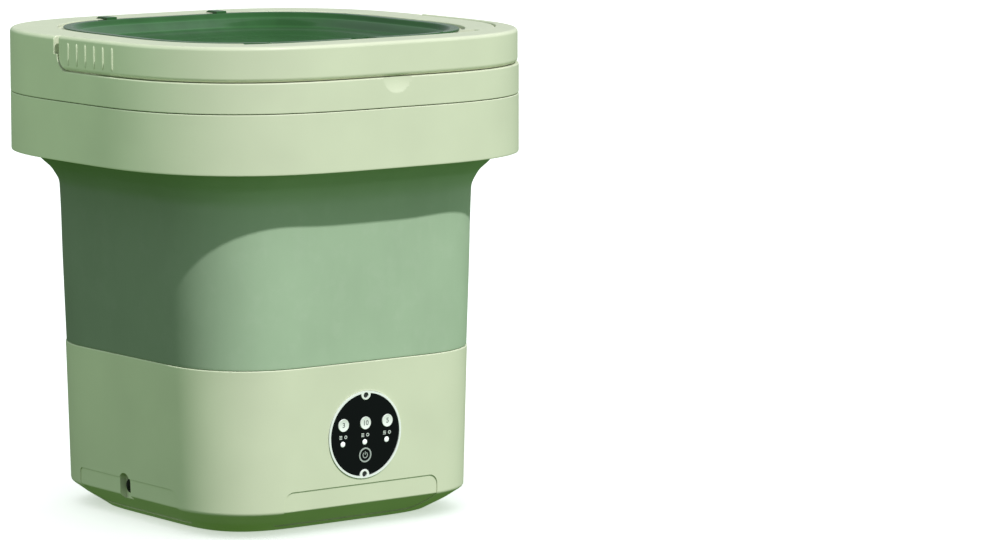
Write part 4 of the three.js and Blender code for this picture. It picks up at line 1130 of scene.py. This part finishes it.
def add_panel_seat(shell):
    wall = stack([(BASE_LOW_Z, BASE_LOW, 0, 0), (BASE_TOP_Z, BASE_TOP, 0, 0)])
    shell = join(shell, common(on_panel(z_rod(35.2, 0, 0, -3.8, -0.35, 96)), wall))
    shell = cut(shell, on_panel(z_rod(33.1, 0, 0, -1.6, 6, 160)),
                on_panel(z_rod(28.3, 0, 0, -8, 2, 96)))
    for y in (PANEL_SCREW_Y, -PANEL_SCREW_Y):
        shell = cut(shell, on_panel(z_rod(1.3, 0, y, -3.2, 2, 24)))
    return shell


def add_power_inlet(shell):
    """A bored boss through the rear wall."""
    boss = lathe([(0, 116, 0), (13, 116, 0), (13, 129.4, 0.8), (0, 129.4, 0)])
    boss.data.transform(Matrix(((1, 0, 0, INLET_X * MM), (0, 0, 1, 0),
                                (0, -1, 0, INLET_Z * MM), (0, 0, 0, 1))))
    shell = join(shell, boss)
    return cut(shell, rod(8.4, (INLET_X, 104, INLET_Z), (INLET_X, 136, INLET_Z), 64))


def build_base():
    shell = stack(BASE_SHELL, closed=True, steps=6, name="base_shell_moulding")
    shell = add_posts(shell)
    shell = cut_aprons(shell)
    shell = add_drain_recess(shell)
    shell = add_panel_seat(shell)
    return add_power_inlet(shell)


piece(build_base(), PALE, "base", "base_shell")

# ---------------------------------------------------------------------------------------------
# control panel, in the panel's own frame
# ---------------------------------------------------------------------------------------------
COLUMNS, KEY_Y, LIGHT_Y, POWER_Y = (-20, 0, 20), 8.8, -5.6, -15.3
KEY_TEXTS = ("3", "10", "5")
KEY_RADIUS, POWER_RADIUS, LIGHT_RADIUS = 4.8, 5.9, 2.1
LENS_RADIUS, BEZEL_INNER, BEZEL_OUTER = 31.0, 31.3, 32.9
PANEL_LOW = -1.3
BEZEL_TOP = 0.9
MARK_LOW, MARK_TOP = 0.5, 0.66               # the print on the lens
BAR_PITCH, BAR_HEIGHT = 1.05, 0.55
PRINT_LOW, PRINT_TOP = 1.0, 1.2              # the print on the keys


def disc(radius, z0, z1, x=0.0, y=0.0, bend=0.2, count=64, name="tool"):
    ob = lathe([(0, z0, 0), (radius, z0, 0), (radius, z1, bend), (0, z1, 0)], count, name=name)
    ob.data.transform(Matrix.Translation(Vector((x, y, 0)) * MM))
    return ob


def rect(x0, x1, y0, y1, z0, z1):
    return prism([(x0, y0), (x1, y0), (x1, y1), (x0, y1)], z0, z1)


def circle(radius, x, y, angles):
    return [(x + radius * math.cos(t), y + radius * math.sin(t)) for t in angles]


def flat_ring(inner, outer, x, y, z0, z1, count, name="tool"):
    angles = np.linspace(0, 2 * math.pi, count, endpoint=False)

    def level(radius, z):
        return np.c_[np.array(circle(radius, x, y, angles)), np.full(count, z)]

    return loft([level(outer, z0), level(outer, z1), level(inner, z1), level(inner, z0)],
                closed=True, name=name)


def bent_strip(inner, outer, x, y, z0, z1, start, end, count):
    """Part of a flat ring between two angles in degrees."""
    angles = np.linspace(math.radians(start), math.radians(end), count + 1)
    verts, faces = [], []
    for pair in zip(circle(outer, x, y, angles), circle(inner, x, y, angles)):
        verts += [(px, py, z) for px, py in pair for z in (z0, z1)]
    for k in range(count):
        a, b = 4 * k, 4 * (k + 1)
        faces += [(a, b, b + 1, a + 1), (a + 2, a + 3, b + 3, b + 2),
                  (a + 1, b + 1, b + 3, a + 3), (a, a + 2, b + 2, b)]
    last = 4 * count
    faces += [(0, 1, 3, 2), (last, last + 2, last + 3, last + 1)]
    return fix_normals(make("tool", verts, faces))


def digits(text, x, y):
    curve = bpy.data.curves.new("digits", "FONT")
    curve.body = text
    curve.size = 5.2 * MM
    curve.align_x = "CENTER"
    curve.align_y = "CENTER"
    curve.extrude = (PRINT_TOP - PRINT_LOW) / 2 * MM
    curve.offset = 0.00008                   # thickens the strokes
    source = bpy.data.objects.new("digits", curve)
    SCENE.collection.objects.link(source)
    depsgraph = bpy.context.evaluated_depsgraph_get()
    depsgraph.update()
    mesh = bpy.data.meshes.new_from_object(source.evaluated_get(depsgraph))
    bpy.data.objects.remove(source)
    mesh.transform(Matrix.Translation(Vector((x, y, (PRINT_LOW + PRINT_TOP) / 2)) * MM))
    ob = bpy.data.objects.new("digits", mesh)
    SCENE.collection.objects.link(ob)
    return ob


def build_lens():
    lens = disc(LENS_RADIUS, PANEL_LOW, 0.6, bend=0.35, count=192, name="panel_lens_glass")
    cutters = [disc(KEY_RADIUS + 0.1, -4, 4, x, KEY_Y) for x in COLUMNS]
    cutters += [disc(2.3, -4, 4, x, LIGHT_Y, count=40) for x in COLUMNS]
    cutters += [disc(6.0, -4, 4, 0, POWER_Y)]
    cutters += [disc(4.9, -4, 4, 0, y) for y in (LENS_RADIUS, -LENS_RADIUS)]
    for cutter in cutters:
        lens = cut(lens, cutter)
    paint(lens, BLACK)
    # two small marks under each key: three bars on the left and a ring on the right
    marks = []
    for x in COLUMNS:
        for k in range(3):
            top = (k - 1) * BAR_PITCH
            marks.append(rect(x - 3.5, x - 1.0, top - BAR_HEIGHT, top, MARK_LOW, MARK_TOP))
        marks.append(flat_ring(0.75, 1.3, x + 2.3, -0.3, MARK_LOW, MARK_TOP, count=24))
    for mark in marks:
        paint(mark, MARK_INK)
    return on_panel(merge_objects(lens, *marks))


def build_bezel():
    """A thin ring with a drilled ear above and below."""
    bezel = flat_ring(BEZEL_INNER, BEZEL_OUTER, 0, 0, PANEL_LOW, BEZEL_TOP, count=192,
                      name="panel_bezel_ring")
    for side in (1, -1):
        ear = common(disc(4.3, PANEL_LOW, BEZEL_TOP, 0, 30.5 * side, bend=0.35),
                     disc(BEZEL_OUTER, -2, 2, bend=0, count=192))
        bezel = join(bezel, ear)
        bezel = cut(bezel, disc(2.2, -3, 3, 0, PANEL_SCREW_Y * side, bend=0, count=40))
    return on_panel(bezel)


def add_key(name, radius, x, y, material, node, body, prints, print_material):
    """A flanged cap on a stem, with a slightly dished face and its print."""
    flange, stem = radius + 0.9, 1.6
    key = lathe([(0, 1.2, 0), (radius, 1.2, 0.45), (radius, -1.6, 0.1), (flange, -1.6, 0.2),
                 (flange, -2.4, 0.2), (stem, -2.4, 0.2), (stem, -5.6, 0.2), (0, -5.6, 0)],
                72, name=name)
    for vertex in key.data.vertices:
        from_axis = math.hypot(vertex.co.x, vertex.co.y) / MM
        if vertex.co.z > 1.1 * MM and from_axis < radius - 0.4:
            vertex.co.z -= 0.12 * MM
    key.data.transform(Matrix.Translation(Vector((x, y, 0)) * MM))
    paint(key, material)
    for mark in prints:
        paint(mark, print_material)
    key = on_panel(merge_objects(key, *prints))
    piece(key, None, body, node, weighted=False)


def add_power_key():
    """The lower key: a printed ring round an open ring with an upright stroke."""
    y = POWER_Y
    prints = [flat_ring(4.5, 5.6, 0, y, PRINT_LOW, 1.24, count=72),
              bent_strip(1.75, 2.35, 0, y - 0.1, PRINT_LOW, PRINT_TOP, 120, 420, count=40),
              rect(-0.3, 0.3, y + 0.1, y + 2.7, PRINT_LOW, PRINT_TOP)]
    add_key("power_key_cap", POWER_RADIUS, 0, y, BLACK, "power_key",
            "key_power", prints, POWER_INK)


def add_light(number, x):
    light = lathe([(0, 0.95, 0), (1.2, 0.85, 0.4), (LIGHT_RADIUS, 0.4, 0.3),
                   (LIGHT_RADIUS, -4.6, 0.2), (0, -4.6, 0)], 40,
                  name=f"indicator_light_lens_{number}")
    light.data.transform(Matrix.Translation(Vector((x, LIGHT_Y, 0)) * MM))
    piece(on_panel(light), LAMP, "base", f"indicator_light_{number}")


piece(build_lens(), None, "base", "panel_lens")
piece(build_bezel(), KEY_WHITE, "base", "panel_bezel")
for number, (x, text) in enumerate(zip(COLUMNS, KEY_TEXTS), 1):
    add_key(f"mode_key_cap_{number}", KEY_RADIUS, x, KEY_Y, KEY_WHITE,
            f"mode_key_{number}", f"key_{number}", [digits(text, x, KEY_Y)], DIGIT_INK)
add_power_key()
for number, x in enumerate(COLUMNS, 1):
    add_light(number, x)

# ---------------------------------------------------------------------------------------------
# drain plug
# ---------------------------------------------------------------------------------------------
PLUG_X = -118.5
PLUG = [  # radius, distance inwards from PLUG_X, bend
    (0, 0.35, 0), (2.2, 0.0, 0.8), (4.6, 0, 0.5), (5.4, 0.6, 0.4), (5.4, 1.6, 0.2),
    (4.2, 1.9, 0.15), (4.2, 3.0, 0.15), (4.4, 3.2, 0.1), (4.4, 17.4, 0.5), (3.4, 19, 0.5),
    (0, 19, 0),
]


def build_plug():
    plug = lathe(PLUG, 72, name="drain_plug_rubber")
    plug.data.transform(Matrix(((0, 0, 1, PLUG_X * MM), (-1, 0, 0, DRAIN_Y * MM),
                                (0, -1, 0, DRAIN_Z * MM), (0, 0, 0, 1))))
    # a small upright loop on the outside
    path = [(PLUG_X + 0.3 - 2.0 * math.sin(t), DRAIN_Y, DRAIN_Z + 2.6 * math.cos(t))
            for t in np.linspace(0, math.pi, 17)]
    return join(plug, tube(path, 0.7, 10))


piece(build_plug(), RUBBER, "drain_plug", "drain_plug")


# ---------------------------------------------------------------------------------------------
# CAD nodes that are shown as they are
# ---------------------------------------------------------------------------------------------
def finish_cad_nodes():
    slot_of = {part.get("node") or part.get("name"): part.get("material_slot")
               for part in frame["record"].get("subparts", [])}
    for name, ob in frame["nodes"].items():
        material = SLOT_MATERIAL.get(slot_of.get(name), DARK)
        if ob.data.materials:
            for i in range(len(ob.data.materials)):
                ob.data.materials[i] = material
        else:
            ob.data.materials.append(material)
        if not ob.hide_render:
            modifier = ob.modifiers.new("edges", "EDGE_SPLIT")
            modifier.split_angle = math.radians(38)
            ob.data.shade_smooth()


finish_cad_nodes()


# ---------------------------------------------------------------------------------------------
# stage and world
# ---------------------------------------------------------------------------------------------
def build_stage():
    """A wide, faintly glowing floor disc that bounces nothing back. Sizes in metres."""
    count, radius = 96, 30
    angles = [i / count * 2 * math.pi for i in range(count)]
    verts = [(0, 0, 0)] + [(radius * math.cos(a), radius * math.sin(a), 0) for a in angles]
    faces = [(0, 1 + i, 1 + (i + 1) % count) for i in range(count)]
    mesh = bpy.data.meshes.new("stage_floor")
    mesh.from_pydata(verts, [], faces)
    ob = bpy.data.objects.new("stage_floor", mesh)
    SCENE.collection.objects.link(ob)
    g = Graph("floor_finish")
    slow = g.noise(scale=0.002, detail=3.0)
    g.set("Base Color", g.mix(g.ramp(slow), (0.86, 0.87, 0.86, 1), (0.88, 0.885, 0.875, 1)))
    g.set("Roughness", g.ramp(g.noise(scale=0.05, detail=4.0), to=(0.6, 0.75)))
    g.set("Specular IOR Level", 0.1)
    g.set("Emission Color", (0.93, 0.96, 0.93, 1))
    g.set("Emission Strength", 0.52)
    g.set("Normal", g.bump(g.noise(scale=0.6, detail=4.0), strength=0.08, depth=0.2))
    mesh.materials.append(g.material)
    ob.visible_diffuse = False
    ob.visible_glossy = False
    return ob


# the room's colour from straight down (0) to straight up (1)
ROOM_BOTTOM, ROOM_TOP = (0.055, 0.160, 0.007, 1), (0.15, 0.17, 0.17, 1)
ROOM_BETWEEN = (
    (0.33, (0.095, 0.230, 0.026, 1)), (0.46, (0.28, 0.38, 0.24, 1)),
    (0.52, (0.42, 0.49, 0.45, 1)), (0.64, (0.52, 0.61, 0.60, 1)), (0.85, (0.42, 0.48, 0.48, 1)),
)


def build_world():
    """Plain white to the camera, a soft coloured room to everything else."""
    world = bpy.data.worlds.new("studio")
    SCENE.world = world
    world.use_nodes = True
    tree = world.node_tree
    tree.nodes.clear()
    output = add_node(tree, "ShaderNodeOutputWorld")
    backdrop = add_node(tree, "ShaderNodeBackground", {0: (1.0, 1.0, 1.0, 1), 1: 1.0})
    direction = add_node(tree, "ShaderNodeTexCoord").outputs["Generated"]
    split = add_node(tree, "ShaderNodeSeparateXYZ", {0: direction})
    height = add_node(tree, "ShaderNodeMapRange", {
        "From Min": -1.0, "From Max": 1.0, "Value": split.outputs["Z"]})
    colour = add_node(tree, "ShaderNodeValToRGB", {0: height.outputs[0]})
    elements = colour.color_ramp.elements
    elements[0].position, elements[0].color = 0.0, ROOM_BOTTOM
    elements[1].position, elements[1].color = 1.0, ROOM_TOP
    for position, value in ROOM_BETWEEN:
        elements.new(position).color = value
    # the room is brighter in front and to the right than behind and to the left
    facing = add_node(tree, "ShaderNodeVectorMath", {0: direction, 1: (0.55, -0.83, 0.0)},
                      operation="DOT_PRODUCT")
    strength = add_node(tree, "ShaderNodeMapRange", {
        "From Min": -1.0, "From Max": 1.0, "To Min": 0.42, "To Max": 1.36,
        "Value": facing.outputs["Value"]})
    room = add_node(tree, "ShaderNodeBackground", {0: colour.outputs[0], 1: strength.outputs[0]})
    path = add_node(tree, "ShaderNodeLightPath")
    mixed = add_node(tree, "ShaderNodeMixShader", {
        0: path.outputs["Is Camera Ray"], 1: room.outputs[0], 2: backdrop.outputs[0]})
    feed(tree, output.inputs[0], mixed.outputs[0])


floor = build_stage()
build_world()


# ---------------------------------------------------------------------------------------------
# lights, placed in metres
# ---------------------------------------------------------------------------------------------
def add_light_object(name, kind, energy):
    data = bpy.data.lights.new(name, kind)
    data.energy = energy
    ob = bpy.data.objects.new(name, data)
    SCENE.collection.objects.link(ob)
    return ob


def aim(ob, direction):
    ob.rotation_mode = "QUATERNION"
    ob.rotation_quaternion = direction.to_track_quat("-Z", "Y")


def add_key_light():
    """A small, high sun from the front."""
    azimuth, elevation = math.radians(1.2), math.radians(50.9)
    distance = 3
    target = Vector((0, 0, 0.1))
    light = add_light_object("key", "SUN", energy=3.20)
    light.data.angle = math.radians(1.6)
    light.data.color = (1.0, 0.995, 0.97)
    light.location = Vector((math.sin(azimuth) * math.cos(elevation),
                             -math.cos(azimuth) * math.cos(elevation),
                             math.sin(elevation))) * distance
    aim(light, target - light.location)
    return light


def add_side_fill():
    """A green panel of light on the left."""
    target = Vector((-0.15, 0.02, 0.25))
    light = add_light_object("side_fill", "AREA", energy=2.9)
    light.data.shape = "RECTANGLE"
    light.data.size, light.data.size_y = 0.5, 0.7
    light.data.color = (0.68, 1.0, 0.66)
    light.location = (-0.95, 0.30, 0.62)
    aim(light, target - light.location)
    return light


def add_floor_light():
    """A broad, soft sun straight down."""
    light = add_light_object("floor_light", "SUN", energy=1.75)
    light.data.angle = math.radians(110)
    return light


def light_only(light, name, objects):
    """Limits a light to some objects, through a collection."""
    collection = bpy.data.collections.new(name)
    SCENE.collection.children.link(collection)
    for ob in objects:
        collection.objects.link(ob)
    light.light_linking.receiver_collection = collection


key_light, side_fill, floor_light = add_key_light(), add_side_fill(), add_floor_light()
# the key models the object only, the side fill its pale shell; the floor has its own light
things = [ob for ob in SCENE.objects if ob.type == "MESH" and ob is not floor]
pale_things = [ob for ob in things if ob.data.materials and ob.data.materials[0] == PALE]
light_only(key_light, "lit_by_key", things)
light_only(floor_light, "lit_by_floor_light", [floor])
light_only(side_fill, "lit_by_side_fill", pale_things)


# ---------------------------------------------------------------------------------------------
# camera and view
# ---------------------------------------------------------------------------------------------
def add_camera():
    """A long lens from the front left, looking slightly down."""
    pitch, yaw = math.radians(7.49938), math.radians(37.43411)
    data = bpy.data.cameras.new("camera")
    camera = bpy.data.objects.new("camera", data)
    SCENE.collection.objects.link(camera)
    SCENE.camera = camera
    data.sensor_width = 36.0
    data.lens = 174.2320367
    data.clip_start, data.clip_end = 0.1, 80.0
    camera.location = Vector((-2039.8288, -2946.4569, 651.2873)) * MM
    aim(camera, Vector((math.sin(yaw) * math.cos(pitch), math.cos(yaw) * math.cos(pitch),
                        -math.sin(pitch))))


add_camera()
view = SCENE.view_settings
view.view_transform = "Standard"
view.look = "None"
view.exposure = 0.0
view.gamma = 1.0

bpy.context.view_layer.update()
